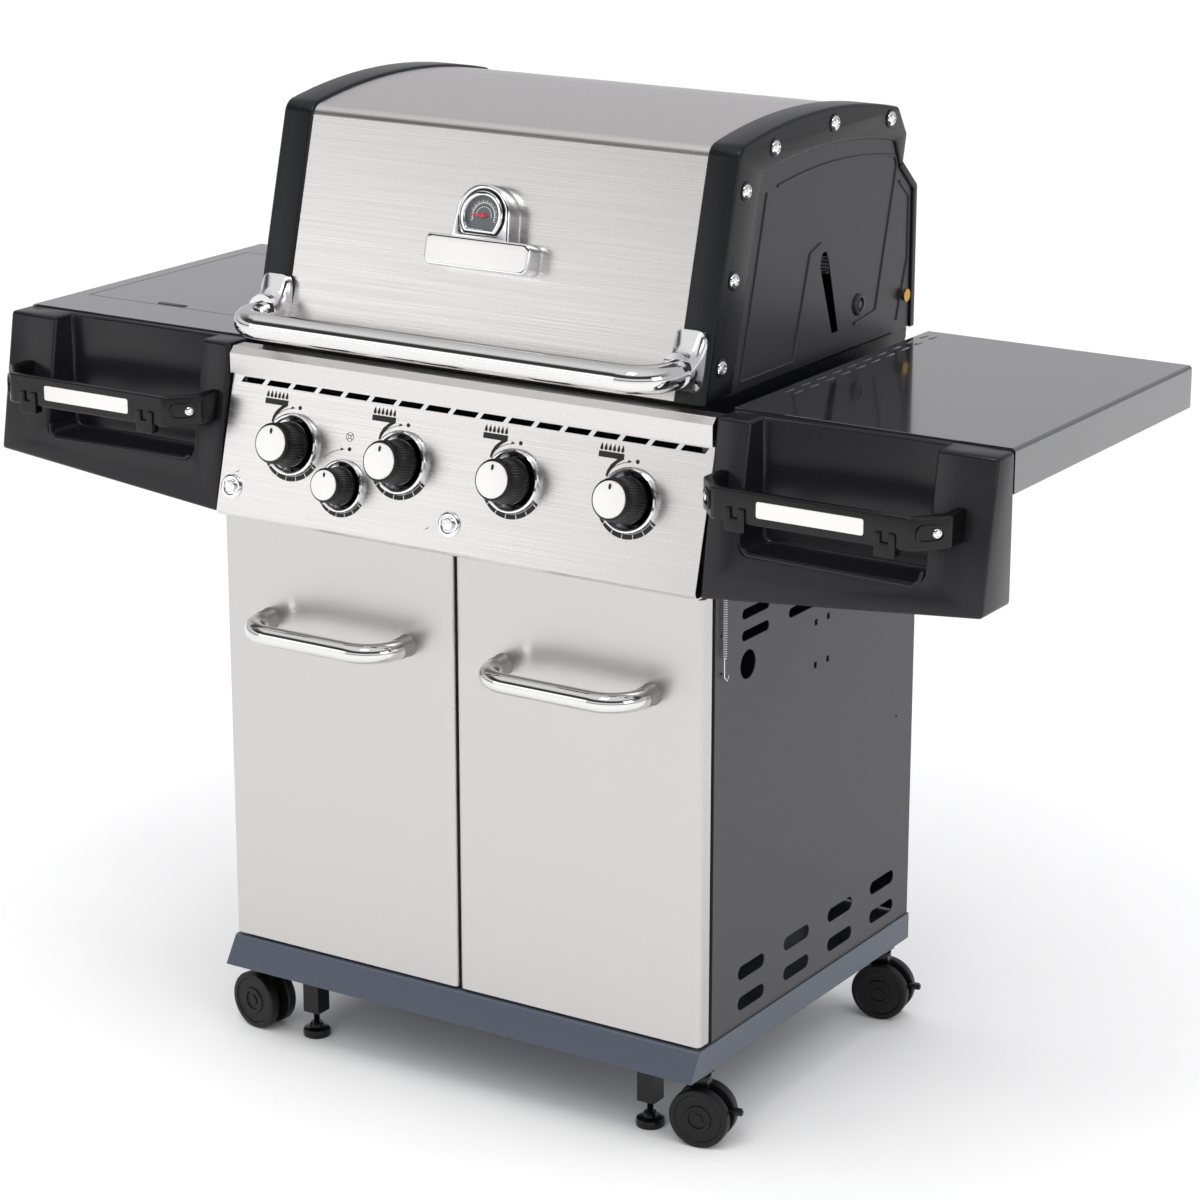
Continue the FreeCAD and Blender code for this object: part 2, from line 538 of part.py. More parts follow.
def doors():
    """Folded door pans with hinge blocks in their outer corners; the left one is the mirror."""
    blank = box("door_blank", ("door_gap", "door_front", DOOR_LOW),
                ("cabinet_half", "door_front + door_thick", "door_top"))
    rounded = round_edges("door_rounded", blank, "door_edge_round", lambda e: runs_along(e, "z")
                          and e.CenterOfMass.y < value("door_front") + 1)
    inside = box("door_inside", ("door_gap + 2 * sheet", "door_front + sheet", f"{DOOR_LOW} + sheet"),
                 ("cabinet_half - 2 * sheet", "door_front + door_thick + 1", "door_top - sheet"))
    blocks = [box(f"door_block_{i}", ("cabinet_half - 2 * sheet - 1 - door_block", "door_front + sheet", low),
                  ("cabinet_half - 2 * sheet", "door_front + door_thick - 1", high))
              for i, (low, high) in enumerate(((DOOR_LOW, f"{DOOR_LOW} + door_pin_reach + 5"),
                                               ("door_top - door_pin_reach - 5", "door_top")))]
    pan = fuse("door_pan", cut("door_hollow", rounded, inside), *blocks)
    bores = [rod(f"door_bore_{i}", "door_pin_radius + pin_play", "door_pin_reach + 2", (PIN_X, PIN_Y, low))
             for i, low in enumerate((f"{DOOR_LOW} - 1", "door_top - door_pin_reach - 1"))]
    right = node("door_right", cut("door_bored", pan, *bores))
    node("door_left", mirrored("door_mirror", right))
    left_end, right_end = "grip_shift - grip_half", "grip_shift + grip_half"
    bar = "front_edge + grip_radius"
    grip = tube("grip_right", "grip_radius", [
        (left_end, "door_front"), (left_end, f"{bar} + grip_bend", "grip_bend", -1),
        (f"{left_end} + grip_bend", bar), (f"{right_end} - grip_bend", bar, "grip_bend", -1),
        (right_end, f"{bar} + grip_bend"), (right_end, "door_front")],
        "XY", "grip_height", "XZ", "-door_front", (left_end, "grip_height"))
    handle = node("door_handle_right", grip)
    node("door_handle_left", mirrored("grip_left", handle))


def hinge_pins():
    """Door pivots, lid pivots with heads, and the side cover's pin on two small posts."""
    pins = []
    for side, sign in (("left", "-"), ("right", "")):
        x_text = f"{sign}{PIN_X}"
        pins.append(rod(f"door_pin_low_{side}", "door_pin_radius", "door_foot_gap + door_pin_reach - 2",
                        (x_text, PIN_Y, "tray_top")))
        pins.append(rod(f"door_pin_high_{side}", "door_pin_radius", "panel_lip - door_top + door_pin_reach - 2",
                        (x_text, PIN_Y, "door_top - door_pin_reach + 2")))
    inner = "box_half - box_wall - 6"
    shank = rod("lid_pin_shank", "lid_pin_radius", f"lid_half - ({inner})",
                (inner, "hinge_back", "hinge_up"), "x")
    head = rod("lid_pin_head", "pin_head", "4", ("lid_half + 0.3", "hinge_back", "hinge_up"), "x")
    neck = rod("lid_pin_neck", "lid_pin_radius", "1", ("lid_half - 0.2", "hinge_back", "hinge_up"), "x")
    right = fuse("lid_pin_right", shank, neck, head)
    pins += [right, mirrored("lid_pin_left", right)]
    reach = "knuckle_span / 2 + knuckle_long + 8"
    wire = rod("cover_pin", "knuckle_pin", f"2 * ({reach})", (f"{COVER_X} - ({reach})", COVER_Y, COVER_Z), "x")
    posts = [box(f"cover_post_{i}", (f"{COVER_X} + {at} - 3", f"{COVER_Y} - 3", "shelf_top"),
                 (f"{COVER_X} + {at} + 3", f"{COVER_Y} + 3", f"{COVER_Z} + 3"))
             for i, at in enumerate((f"-({reach}) + 3", "0", f"{reach} - 3"))]
    pins.append(fuse("cover_pin_set", wire, *posts))
    node("hinge_pins", group("all_pins", *pins))


# ---- cookbox ---------------------------------------------------------------------------------
def cookbox():
    """The cast firebox: sloping floor, drain, burner ports, ledges, tray runners and hinge ears."""
    outer = prism("box_outer", "YZ", "-box_half", "box_half", [
        ("box_front", "box_top"), ("box_front + box_lean / 2", "box_low + box_lean"),
        ("-drain_half", "box_low"), ("drain_half + 60", "box_low"),
        ("box_rear - box_lean / 2", "box_low + box_lean"), ("box_rear", "box_top")])
    inner = prism("box_inner", "YZ", "box_wall - box_half", "box_half - box_wall", [
        ("box_front + box_wall", "box_top + 1"), ("box_front + box_wall + box_lean / 2", "box_low + box_lean"),
        ("-drain_half + 3", "box_low + box_wall"), ("drain_half + 57", "box_low + box_wall"),
        ("box_rear - box_wall - box_lean / 2", "box_low + box_lean"), ("box_rear - box_wall", "box_top + 1")])
    drain = box("box_drain", ("-drain_half", "-drain_half + 40", "box_low - 1"),
                ("drain_half", "drain_half + 20", "box_low + box_wall + 1"))
    ports = [rod(f"box_port_{i}", "burner_radius + 1", "80",
                 (f"{share} * knob_pitch", "box_front - 10", "burner_up"), "y")
             for i, share in enumerate(BURNERS)]
    shell = cut("box_shell", outer, inner, drain, *ports)
    front_ledge = box("ledge_front", ("-box_half", "box_front + 2", "ledge_up"),
                      ("box_half", "box_front + box_wall + box_lean * 0.2 + ledge_wide",
                       "ledge_up + ledge_thick"))
    rear_ledge = box("ledge_rear",
                     ("-box_half", "box_rear - box_wall - box_lean * 0.2 - ledge_wide", "ledge_up"),
                     ("box_half", "box_rear - 2", "ledge_up + ledge_thick"))
    trim = prism("ledge_bounds", "YZ", "-box_half", "box_half", [
        ("box_front", "box_top"), ("box_front + box_lean / 2", "box_low + box_lean"),
        ("box_rear - box_lean / 2", "box_low + box_lean"), ("box_rear", "box_top")])
    ledges = []
    for ledge in (front_ledge, rear_ledge):
        kept = doc.addObject("Part::Common", ledge.Name + "_kept")
        kept.Base = ledge
        kept.Tool = trim
        ledges.append(kept)
    ear_outline = [("hinge_back - 24", "box_top - 12"), ("hinge_back - 16", "hinge_up + 14"),
                   ("hinge_back + 14", "hinge_up + 14"), ("hinge_back + 17", "box_top - 12")]
    ears = [prism("ear_right", "YZ", "box_half - box_wall", "box_half", ear_outline),
            prism("ear_left", "YZ", "-box_half", "box_wall - box_half", ear_outline)]
    runner_x = "grease_half + grease_flange + runner_play"
    runners = []
    for side, sign in (("right", 1), ("left", -1)):
        wall = (runner_x, f"{runner_x} + runner_thick")
        foot = ("grease_half + runner_play", f"{runner_x} + runner_thick")
        for part, (a, b), (low, high) in (
                ("wall", wall, ("grease_high - 2 * runner_thick", "box_low + 1")),
                ("foot", foot, ("grease_high - 2 * runner_thick - 2", "grease_high - runner_thick - runner_play"))):
            xs = (a, b) if sign == 1 else (f"-({b})", f"-({a})")
            runners.append(box(f"runner_{part}_{side}", (xs[0], "grease_front", low),
                               (xs[1], "drain_half + 60", high)))
    rear_wall = box("box_rear_wall", ("box_wall - box_half", "rear_wall_back - box_wall", "box_top - 12"),
                    ("box_half - box_wall", "rear_wall_back", "rear_wall_top"))
    sill = box("box_rear_sill", ("box_wall - box_half", "rear_wall_back - box_wall", "box_top - box_wall"),
               ("box_half - box_wall", "box_rear - 1", "box_top"))
    body = fuse("box_body", shell, *ledges, *ears, *runners, rear_wall, sill)
    bore = rod("ear_bore", "lid_pin_radius + pin_play", "2 * lid_half",
               ("-lid_half", "hinge_back", "hinge_up"), "x")
    node("cookbox", cut("box_bored", body, bore))


BURNERS = (-1.5, -0.5, 0.5, 1.5)


def burner_tubes():
    """Four tube burners, closed at the rear and open to their valves at the front."""
    tubes = []
    for i, share in enumerate(BURNERS):
        x_text = f"{share} * knob_pitch"
        outer = rod(f"burner_{i}", "burner_radius", "burner_rear - burner_front",
                    (x_text, "burner_front", "burner_up"), "y")
        bore = rod(f"burner_bore_{i}", "burner_radius - sheet", "burner_rear - burner_front - sheet",
                   (x_text, "burner_front - 0.001", "burner_up"), "y")
        tubes.append(cut(f"burner_tube_{i}", outer, bore))
    node("burner_tubes", group("burners", *tubes))


def flame_tamers():
    """Four folded steel covers, one over each burner."""
    covers = []
    for i, share in enumerate(BURNERS):
        x_text = f"{share} * knob_pitch"
        covers.append(prism(f"tamer_{i}", "XZ", "box_front + box_lean / 2 + 10", "box_rear - box_lean / 2 - 10", [
            (f"{x_text} - tamer_half", "tamer_low"), (f"{x_text} - tamer_half + 3", "tamer_low"),
            (x_text, "tamer_high - 2 * sheet"), (f"{x_text} + tamer_half - 3", "tamer_low"),
            (f"{x_text} + tamer_half", "tamer_low"), (x_text, "tamer_high")]))
    node("flame_tamers", group("tamers", *covers))


def cooking_grates():
    """Four cast grates side by side on the ledges, each with a rim and a row of slots."""
    low = "ledge_up + ledge_thick"
    span = "((box_half - box_wall - grate_gap) / 2)"
    slope = "(box_lean / 2) * (box_top - ledge_up - ledge_thick) / (box_top - box_low - box_lean)"
    front = f"box_front + box_wall + {slope} + grate_gap"
    rear = f"box_rear - box_wall - {slope} - grate_gap"
    plates = []
    for i in range(4):
        left = f"-2 * {span} + {i} * {span} + grate_gap / 2"
        right = f"-2 * {span} + {i + 1} * {span} - grate_gap / 2"
        body = prism(f"grate_{i}", "XY", low, f"{low} + grate_thick", rectangle((left, front), (right, rear)))
        slots = new_sketch(body, f"grate_slot_{i}", "XY", f"{low} + grate_thick")
        slot_left = f"{left} + grate_rim"
        draw(slots, rectangle((slot_left, f"{front} + grate_rim"),
                              (f"{slot_left} + grate_slot", f"{rear} - grate_rim")))
        pocket = feature(body, "Pocket", f"grate_cut_{i}", slots, "grate_thick + 1")
        pattern = body.newObject("PartDesign::LinearPattern", f"grate_row_{i}")
        pattern.Originals = [pocket]
        pattern.Direction = (slots, ["H_Axis"])
        count = int((value(span) - value("grate_gap + 2 * grate_rim") + value("grate_bar"))
                    // (value("grate_slot + grate_bar")))
        bind(pattern, {"Length": f"{count - 1} * (grate_slot + grate_bar)"})
        pattern.Occurrences = count
        body.Tip = pattern
        plates.append(body)
    node("cooking_grates", group("grates", *plates))


def warming_rack():
    """A wire rack above the rear of the grates, on four legs."""
    grate_top = "ledge_up + ledge_thick + grate_thick"
    count = int(value("rack_rods"))
    wires = [rod(f"rack_rod_{i}", "rack_wire", "2 * rack_half",
                 ("-rack_half", f"rack_front + {i} * (rack_rear - rack_front) / {count - 1}", "rack_up"), "x")
             for i in range(count)]
    for side in (-1, 1):
        x_text = f"{side} * (rack_half - 4)"
        wires.append(rod(f"rack_end_{side + 1}", "rack_wire", "rack_rear - rack_front",
                         (x_text, "rack_front", "rack_up"), "y"))
        for end in ("rack_front", "rack_rear"):
            wires.append(rod(f"rack_leg_{end}_{side + 1}", "rack_wire", f"rack_up - ({grate_top})",
                             (x_text, end, grate_top)))
    node("warming_rack", fuse("rack", *wires))


def grease_tray():
    """The drip pan under the drain; it slides out to the rear on the cookbox's runners."""
    pan = box("grease_outer", ("-grease_half", "grease_front", "grease_low"),
              ("grease_half", "grease_rear", "grease_high"))
    flange = box("grease_flanges", ("-grease_half - grease_flange", "grease_front", "grease_high - runner_thick"),
                 ("grease_half + grease_flange", "grease_rear", "grease_high"))
    inside = box("grease_inside", ("sheet - grease_half", "grease_front + sheet", "grease_low + sheet"),
                 ("grease_half - sheet", "grease_rear - sheet", "grease_high + 1"))
    node("grease_tray", cut("grease_pan", fuse("grease_blank", pan, flange), inside))


# ---- lid -------------------------------------------------------------------------------------
def crown(inset):
    """The lid's outline from its front foot over the crown to the rear lip, moved in by inset."""
    return [(f"lid_foot + {inset}", "lid_low"),
            (f"fold_back + 0.8 * {inset}", f"fold_up - {inset}", "crown_radius", 1),
            (f"crown_end - 0.4 * {inset}", f"crown_end_up - {inset}"),
            (f"rear_lip - {inset}", f"rear_lip_up - 0.3 * {inset}"),
            (f"rear_notch - {inset}", "rear_notch_up")]


def backwards(points):
    """The same outline run the other way, its arcs kept on the same side of the sheet."""
    turned = []
    for i in range(len(points) - 1, -1, -1):
        arc = points[i - 1][2:] if i > 0 and len(points[i - 1]) == 4 else ()
        turned.append(points[i][:2] + ((arc[0], -arc[1]) if arc else ()))
    return turned


def at_fold(edge, inset):
    """True for the lid's front fold, on the sheet or casting face that lies in by inset."""
    if not runs_along(edge, "x"):
        return False
    fold = FreeCAD.Vector(edge.CenterOfMass.x, value(f"fold_back + 0.8 * {inset}"), value(f"fold_up - {inset}"))
    return (edge.CenterOfMass - fold).Length < 0.5


def lid_skin():
    """The bright outer sheet of the lid, between the two cast ends."""
    inner = "(skin_step + sheet)"
    sheet_body = prism("skin", "YZ", "band_width + 0.2 - lid_half", "lid_half - band_width - 0.2",
                       crown("skin_step") + backwards(crown(inner)))
    outside = round_edges("skin_rounded", sheet_body, "fold_round", lambda e: at_fold(e, "skin_step"))
    node("lid_skin", round_edges("skin_rounded_inside", outside, "fold_round - sheet",
                                 lambda e: at_fold(e, inner)))


def lid_ends():
    """The cast end of the lid: outer band, end plate with its spit notch, and the hinge lobe."""
    outline = crown("0") + [("rear_edge", "lobe_up"), ("rear_edge", "lid_low")]
    blank = prism("end_blank", "YZ", "lid_half - band_width", "lid_half", outline)
    outer = round_edges("end_outer", blank, "fold_round + skin_step", lambda e: at_fold(e, "0"))
    inner_outline = [("lid_foot + band_thick - 0.3", "lid_low - 1")] + crown("band_thick")[1:] + [
        ("rear_notch - band_thick", "lid_low - 1")]
    inner = prism("end_inner", "YZ", "lid_half - band_width - 1", "lid_half - end_plate", inner_outline)
    lobe_gap = prism("lobe_gap", "YZ", "lid_half - band_width - 1", "lid_half - end_plate", [
        ("rear_notch - band_thick - 1", "lid_low - 1"), ("rear_edge + 1", "lid_low - 1"),
        ("rear_edge + 1", "rear_notch_up"), ("rear_notch - band_thick - 1", "rear_notch_up")])
    notch = prism("spit_notch", "YZ", "lid_half - end_plate - 1", "lid_half + 1", [
        ("spit_back - spit_half - 8", "lid_low - 1"), ("spit_back + spit_half + 10", "lid_low - 1"),
        ("spit_back + 8", "spit_up - 10"), ("spit_back", "spit_up"), ("spit_back - 8", "spit_up - 10")])
    bore = rod("lid_bore", "lid_pin_radius + pin_play", "20", ("lid_half - 10", "hinge_back", "hinge_up"), "x")
    right = node("lid_end_right", cut("end_right", outer, inner, lobe_gap, notch, bore))
    node("lid_end_left", mirrored("end_left", right))


def lid_bolts():
    """Six domed bolts on each cast end: three up the front and three under the crown."""
    spots = [(f"lid_foot + {rise} * {LID_RUN} / {LID_RISE} + bolt_inset", f"lid_low + {rise}")
             for rise in (38, 136, 236)]
    spots += [(f"fold_back + {share} * (crown_end - fold_back)", f"fold_up - bolt_inset + {rise}")
              for share, rise in ((0.2, 15), (0.57, 24), (0.94, 10))]
    bolts = []
    for i, (y_text, z_text) in enumerate(spots):
        dome = rod(f"bolt_{i}", "bolt_radius", "bolt_high", ("lid_half", y_text, z_text), "x")
        rounded = round_edges(f"bolt_dome_{i}", dome, "2.5", lambda e: isinstance(e.Curve, Part.Circle)
                              and e.CenterOfMass.x > value("lid_half + bolt_high") - 0.1)
        bolts += [rounded, mirrored(f"bolt_left_{i}", rounded)]
    node("lid_bolts", group("bolts", *bolts))


def lid_handle():
    """The bent tube across the lid and the two sockets that hold it to the cast ends."""
    ends = "socket_end"
    node("lid_handle_bar", tube("bar", "bar_radius", [
        ("-bar_half", ends), ("-bar_half", "bar_front + bar_bend", "bar_bend", -1),
        ("bar_bend - bar_half", "bar_front"), ("bar_half - bar_bend", "bar_front", "bar_bend", -1),
        ("bar_half", "bar_front + bar_bend"), ("bar_half", ends)],
        "XY", "bar_up", "XZ", f"-({ends})", ("-bar_half", "bar_up")))
    stub = rod("socket_stub", "socket_radius", "60", ("bar_half", ends, "bar_up"), "y")
    face = prism("socket_face", "YZ", "bar_half - 2 * socket_radius", "bar_half + 2 * socket_radius", [
        ("lid_foot", "lid_low"), ("fold_back", "fold_up"), ("fold_back + 200", "fold_up"),
        ("lid_foot + 200", "lid_low")])
    right = cut("socket_right", stub, face)
    node("handle_sockets", group("sockets", right, mirrored("socket_left", right)))


def thermometer():
    """The gauge housing on the lid: a blank plate under an arch, with a sunk dial and a needle."""
    back = "-skin_step + 0.2"
    arch = local_rod("gauge_drum", "gauge_arch", "0", "gauge_deep")
    cheek = box("gauge_cheek", ("-gauge_arch", "-gauge_arch", "0"), ("gauge_arch", "0", "gauge_deep"))
    plate = box("gauge_plate", ("-plate_long / 2", "-gauge_arch - plate_high + 4", "0"),
                ("plate_long / 2", "4 - gauge_arch", "gauge_deep"))
    well = local_rod("gauge_well", "dial_radius", "gauge_deep - dial_deep", "gauge_deep + 1")
    spindle = local_rod("gauge_spindle", "1", "gauge_deep - dial_deep - 1",
                        "gauge_deep - dial_deep + needle_lift + 1")
    housing = fuse("gauge_housing", cut("gauge_cut", fuse("gauge_blank", arch, cheek, plate), well), spindle)
    node("gauge_bezel", stand_on_lid(group("gauge_set", housing)))
    low = "gauge_deep - dial_deep + needle_lift"
    hand = box("needle_hand", ("-needle_long", "-needle_wide / 2", low), ("6", "needle_wide / 2", f"{low} + 1"))
    hub = local_rod("needle_hub", "3", low, f"{low} + 1")
    eye = local_rod("needle_eye", "1 + pin_play", f"{low} - 1", f"{low} + 2")
    needle = cut("needle_cut", fuse("needle_blank", hand, hub), eye)
    node("gauge_needle", stand_on_lid(group("needle_set", needle)))


def stand_on_lid(thing):
    """Stands a piece, built at the origin, on the lid's bright sheet at the gauge's height."""
    gap = "0.1"
    return place(thing, ("0", f"{lid_face('gauge_up')} - {gap}", "gauge_up"), LID_TURN)


# ---- shelves, end caps and tool rails ----------------------------------------------------------
COVER_X = "-(cover_in + cover_out) / 2"
COVER_Y = "(cover_rear + cover_play + 3)"
COVER_Z = "(shelf_top + knuckle_radius + 0.2)"


def shelf(name, window=None):
    """A folded shelf pan on the right, rounded along its upper edges."""
    outer = box(name + "_blank", ("cap_inner", "shelf_front", "shelf_top - shelf_skirt"),
                ("half_width", "shelf_rear", "shelf_top"))
    rounded = round_edges(name + "_rounded", outer, "shelf_round", lambda e: runs_along(e, "y")
                          and e.CenterOfMass.z > value("shelf_top") - 1
                          and e.CenterOfMass.x > value("half_width") - 1)
    inside = box(name + "_inside", ("cap_inner + sheet", "shelf_front + sheet", "shelf_top - shelf_skirt - 1"),
                 ("half_width - sheet", "shelf_rear - sheet", "shelf_top - sheet"))
    rounded_inside = round_edges(name + "_inside_rounded", inside, "shelf_round - sheet",
                                 lambda e: runs_along(e, "y") and e.CenterOfMass.z > value("shelf_top") - 3
                                 and e.CenterOfMass.x > value("half_width") - 3)
    return cut(name + "_pan", rounded, rounded_inside, *([window] if window else []))


def shelves():
    """The plain right shelf with its row of vent slits, and the left one with the cover's window."""
    slits = []
    for row in (0, 1):
        for i in range(10):
            y_text = f"-77 + {i} * 38"
            slits.append(box(f"shelf_slit_{row}_{i}", (f"cap_inner + {10 + 12 * row}", y_text, "shelf_top - 3"),
                             (f"cap_inner + {13 + 12 * row}", f"{y_text} + 18", "shelf_top + 1")))
    right = shelf("shelf_r")
    node("shelf_right", cut("shelf_r_slit", right, group("shelf_slits", *slits)))
    window = box("cover_window", ("cover_in", "cover_front", "shelf_top - 4"),
                 ("cover_out", "cover_rear", "shelf_top + 1"))
    node("shelf_left", mirrored("shelf_l_mirror", shelf("shelf_l", window)))


def side_burner():
    """The sunk bowl, its gas ring and the trivet, hung in the left shelf's window."""
    inset = "bowl_inset"
    low = "shelf_top - 2 - bowl_deep"
    outer = box("bowl_outer", (f"cover_in - {inset}", f"cover_front - {inset}", low),
                (f"cover_out + {inset}", f"cover_rear + {inset}", "shelf_top - 2"))
    inner = box("bowl_inner",
                (f"cover_in - {inset} + sheet", f"cover_front - {inset} + sheet", f"{low} + sheet"),
                (f"cover_out + {inset} - sheet", f"cover_rear + {inset} - sheet", "shelf_top"))
    middle = ("(cover_in + cover_out) / 2", "(cover_front + cover_rear) / 2")
    ring = rod("gas_ring", "ring_radius", "ring_high", (*middle, f"{low} + sheet"))
    trivet_low = f"{low} + sheet + ring_high + 6"
    arms = [box("trivet_bar_x", (f"{middle[0]} - 110", f"{middle[1]} - 4", trivet_low),
                (f"{middle[0]} + 110", f"{middle[1]} + 4", f"{trivet_low} + trivet_high")),
            box("trivet_bar_y", (f"{middle[0]} - 4", f"{middle[1]} - 110", trivet_low),
                (f"{middle[0]} + 4", f"{middle[1]} + 110", f"{trivet_low} + trivet_high"))]
    for i, (dx, dy) in enumerate(((106, 0), (-106, 0), (0, 106), (0, -106))):
        arms.append(box(f"trivet_leg_{i}",
                        (f"{middle[0]} + {dx} - 4", f"{middle[1]} + {dy} - 4", f"{low} + sheet"),
                        (f"{middle[0]} + {dx} + 4", f"{middle[1]} + {dy} + 4", f"{trivet_low} + 1")))
    pieces = [cut("bowl", outer, inner), ring, fuse("trivet", *arms)]
    node("side_burner", group("burner_left_set", *[mirrored(p.Name + "_left", p) for p in pieces]))


def side_burner_lid():
    """The flush cover over the side burner, with two knuckles on its rear edge."""
    top = "shelf_top"
    plate = box("cover_plate", ("-(cover_out - cover_play)", "cover_front + cover_play", f"{top} - sheet"),
                ("-(cover_in + cover_play)", "cover_rear - cover_play", top))
    parts, bores = [plate], []
    for i, side in enumerate((-1, 1)):
        start = f"{COVER_X} + {side} * (knuckle_span / 2 + knuckle_long / 2) - knuckle_long / 2"
        parts.append(rod(f"knuckle_{i}", "knuckle_radius", "knuckle_long", (start, COVER_Y, COVER_Z), "x"))
        parts.append(box(f"knuckle_strap_{i}", (start, "cover_rear - 22", top),
                         (f"{start} + knuckle_long", COVER_Y, f"{top} + 1.2")))
        bores.append(rod(f"knuckle_bore_{i}", "knuckle_pin + pin_play", "knuckle_long + 2",
                         (f"{start} - 1", COVER_Y, COVER_Z), "x"))
    lifted = box("strap_relief", ("-cover_out", "cover_rear - cover_play", f"{top} - 1"),
                 ("-cover_in", f"{COVER_Y} + 9", f"{top} + 0.2"))
    node("side_burner_lid", cut("cover_bored", fuse("cover_blank", *parts), *bores, lifted))


def end_cap_outline(inset):
    """The end cap's side profile: flat top, leaning front, moved in by inset."""
    return [(f"cap_head + {inset}", f"cap_top - {inset}"), (f"cap_foot + {inset}", "cap_low_in - 1"),
            ("cap_rear + 1", "cap_low_in - 1"), ("cap_rear + 1", f"cap_top - {inset}")]


def end_caps():
    """Hollow moulded front caps of the shelves, each with a niche behind its tool rail."""
    wedge = prism("cap_wedge", "YZ", "cap_inner", "half_width", end_cap_outline("0"))
    inner = prism("cap_hollow", "YZ", "cap_inner + cap_wall", "half_width - cap_wall", end_cap_outline("cap_wall"))
    below = prism("cap_below", "XZ", "cap_foot - 20", "cap_rear + 20", [
        ("cap_inner - 1", "cap_low_in"), ("half_width - cap_taper", "cap_low_out"),
        ("half_width + 1", "cap_low_out + 90"), ("half_width + 1", "cap_low_in - 20"),
        ("cap_inner - 1", "cap_low_in - 20")])
    below_in = prism("cap_below_in", "XZ", "cap_foot - 20", "cap_rear + 20", [
        ("cap_inner - 1", "cap_low_in + cap_wall"), ("half_width - cap_taper", "cap_low_out + cap_wall"),
        ("half_width + 1", "cap_low_out + 90 + cap_wall"), ("half_width + 1", "cap_low_in - 20"),
        ("cap_inner - 1", "cap_low_in - 20")])
    rear = box("cap_rear_cut", ("cap_inner - 1", "cap_rear", "cap_low_in - 20"),
               ("half_width + 1", "cap_rear + 30", "cap_top + 5"))
    niche = box("cap_niche", ("niche_in", "cap_foot - 20", "niche_low"),
                ("niche_out", "niche_back", "cap_top + 1"))
    niche_shell = box("cap_niche_shell", ("niche_in - cap_wall", "cap_foot - 20", "niche_low - cap_wall"),
                      ("niche_out + cap_wall", "niche_back + cap_wall", "cap_top + 1"))
    hollow = cut("cap_cavity", inner, below_in, niche_shell)
    right = node("end_cap_right", cut("cap_right", cut("cap_solid", wedge, below, rear), hollow, niche))
    node("end_cap_left", mirrored("cap_left", right))


def tool_rails():
    """The bow-shaped tool rails in front of the end caps' niches."""
    outer = box("rail_bow", ("hook_in", "hook_front", "hook_low"), ("hook_out", "cap_head + 40", "hook_high"))
    opening = box("rail_opening", ("hook_in + hook_arm", "hook_front + hook_thick", "hook_low - 1"),
                  ("hook_out - hook_arm", "cap_head + 41", "hook_high + 1"))
    face = prism("rail_seat", "YZ", "hook_in - 1", "hook_out + 1", end_cap_outline("0"))
    behind = box("rail_behind", ("hook_in - 1", "cap_rear", "hook_low - 1"),
                 ("hook_out + 1", "cap_head + 42", "hook_high + 1"))
    right = cut("rail_right", outer, opening, face, behind)
    bowed = round_edges("rail_rounded", right, "9", lambda e: runs_along(e, "z")
                        and e.CenterOfMass.y < value("hook_front") + 1)
    node("tool_rails", group("rails", bowed, mirrored("rail_left", bowed)))


# ---- casters and feet ----------------------------------------------------------------------------
CASTERS = [("front_left", -1, "caster_front"), ("front_right", 1, "caster_front"),
           ("rear_left", -1, "caster_rear"), ("rear_right", 1, "caster_rear")]


def caster_turn(side):
    """How far a caster is swivelled at rest, about its post."""
    angle = value("caster_turn")
    return FreeCAD.Rotation(FreeCAD.Vector(0, 0, 1), angle if side > 0 else 180 - angle)


def casters():
    """Twin-wheel swivel casters: hood with post, wheel pair on its axle, and brake pedal."""
    for name, side, y_text in CASTERS:
        spot = (f"{side} * stem_side", y_text, "0")
        turn = caster_turn(side)
        node("caster_" + name, place(caster_hood(name), spot, turn))
        node("wheels_" + name, place(wheel_pair(name), spot, turn))
        node("brake_" + name, place(brake_pedal(name), spot, turn))


def caster_hood(name):
    """The hood between the wheels, with its axle bore, pedal slot, collar and post."""
    half = "hood_wide / 2"
    drum = rod("hood_" + name, "hood_radius", "hood_wide", ("caster_trail", f"-{half}", "wheel_radius"), "y")
    neck = box("neck_" + name, ("-neck_half", f"-{half}", "wheel_radius"), ("neck_half", half, "collar_up"))
    collar = rod("collar_" + name, "neck_half + 4", "collar_thick", ("0", "0", "collar_up"))
    post = rod("post_" + name, "post_radius", "post_top - collar_up", ("0", "0", "collar_up"))
    bore = rod("axle_bore_" + name, "axle_radius + pin_play", "hood_wide + 2",
               ("caster_trail", f"-{half} - 1", "wheel_radius"), "y")
    slot = box("pedal_slot_" + name, ("pedal_pivot - 6", "-pedal_wide / 2 - side_play", "wheel_radius - 4"),
               ("pedal_reach", "pedal_wide / 2 + side_play", "collar_up - 12"))
    pin = rod("pedal_pin_" + name, "pedal_pin", "hood_wide - 0.4",
              ("pedal_pivot", f"0.2 - {half}", "pedal_up"), "y")
    shell = cut("hood_cut_" + name, fuse("hood_body_" + name, drum, neck, collar, post), bore, slot)
    return fuse("hood_set_" + name, shell, pin)


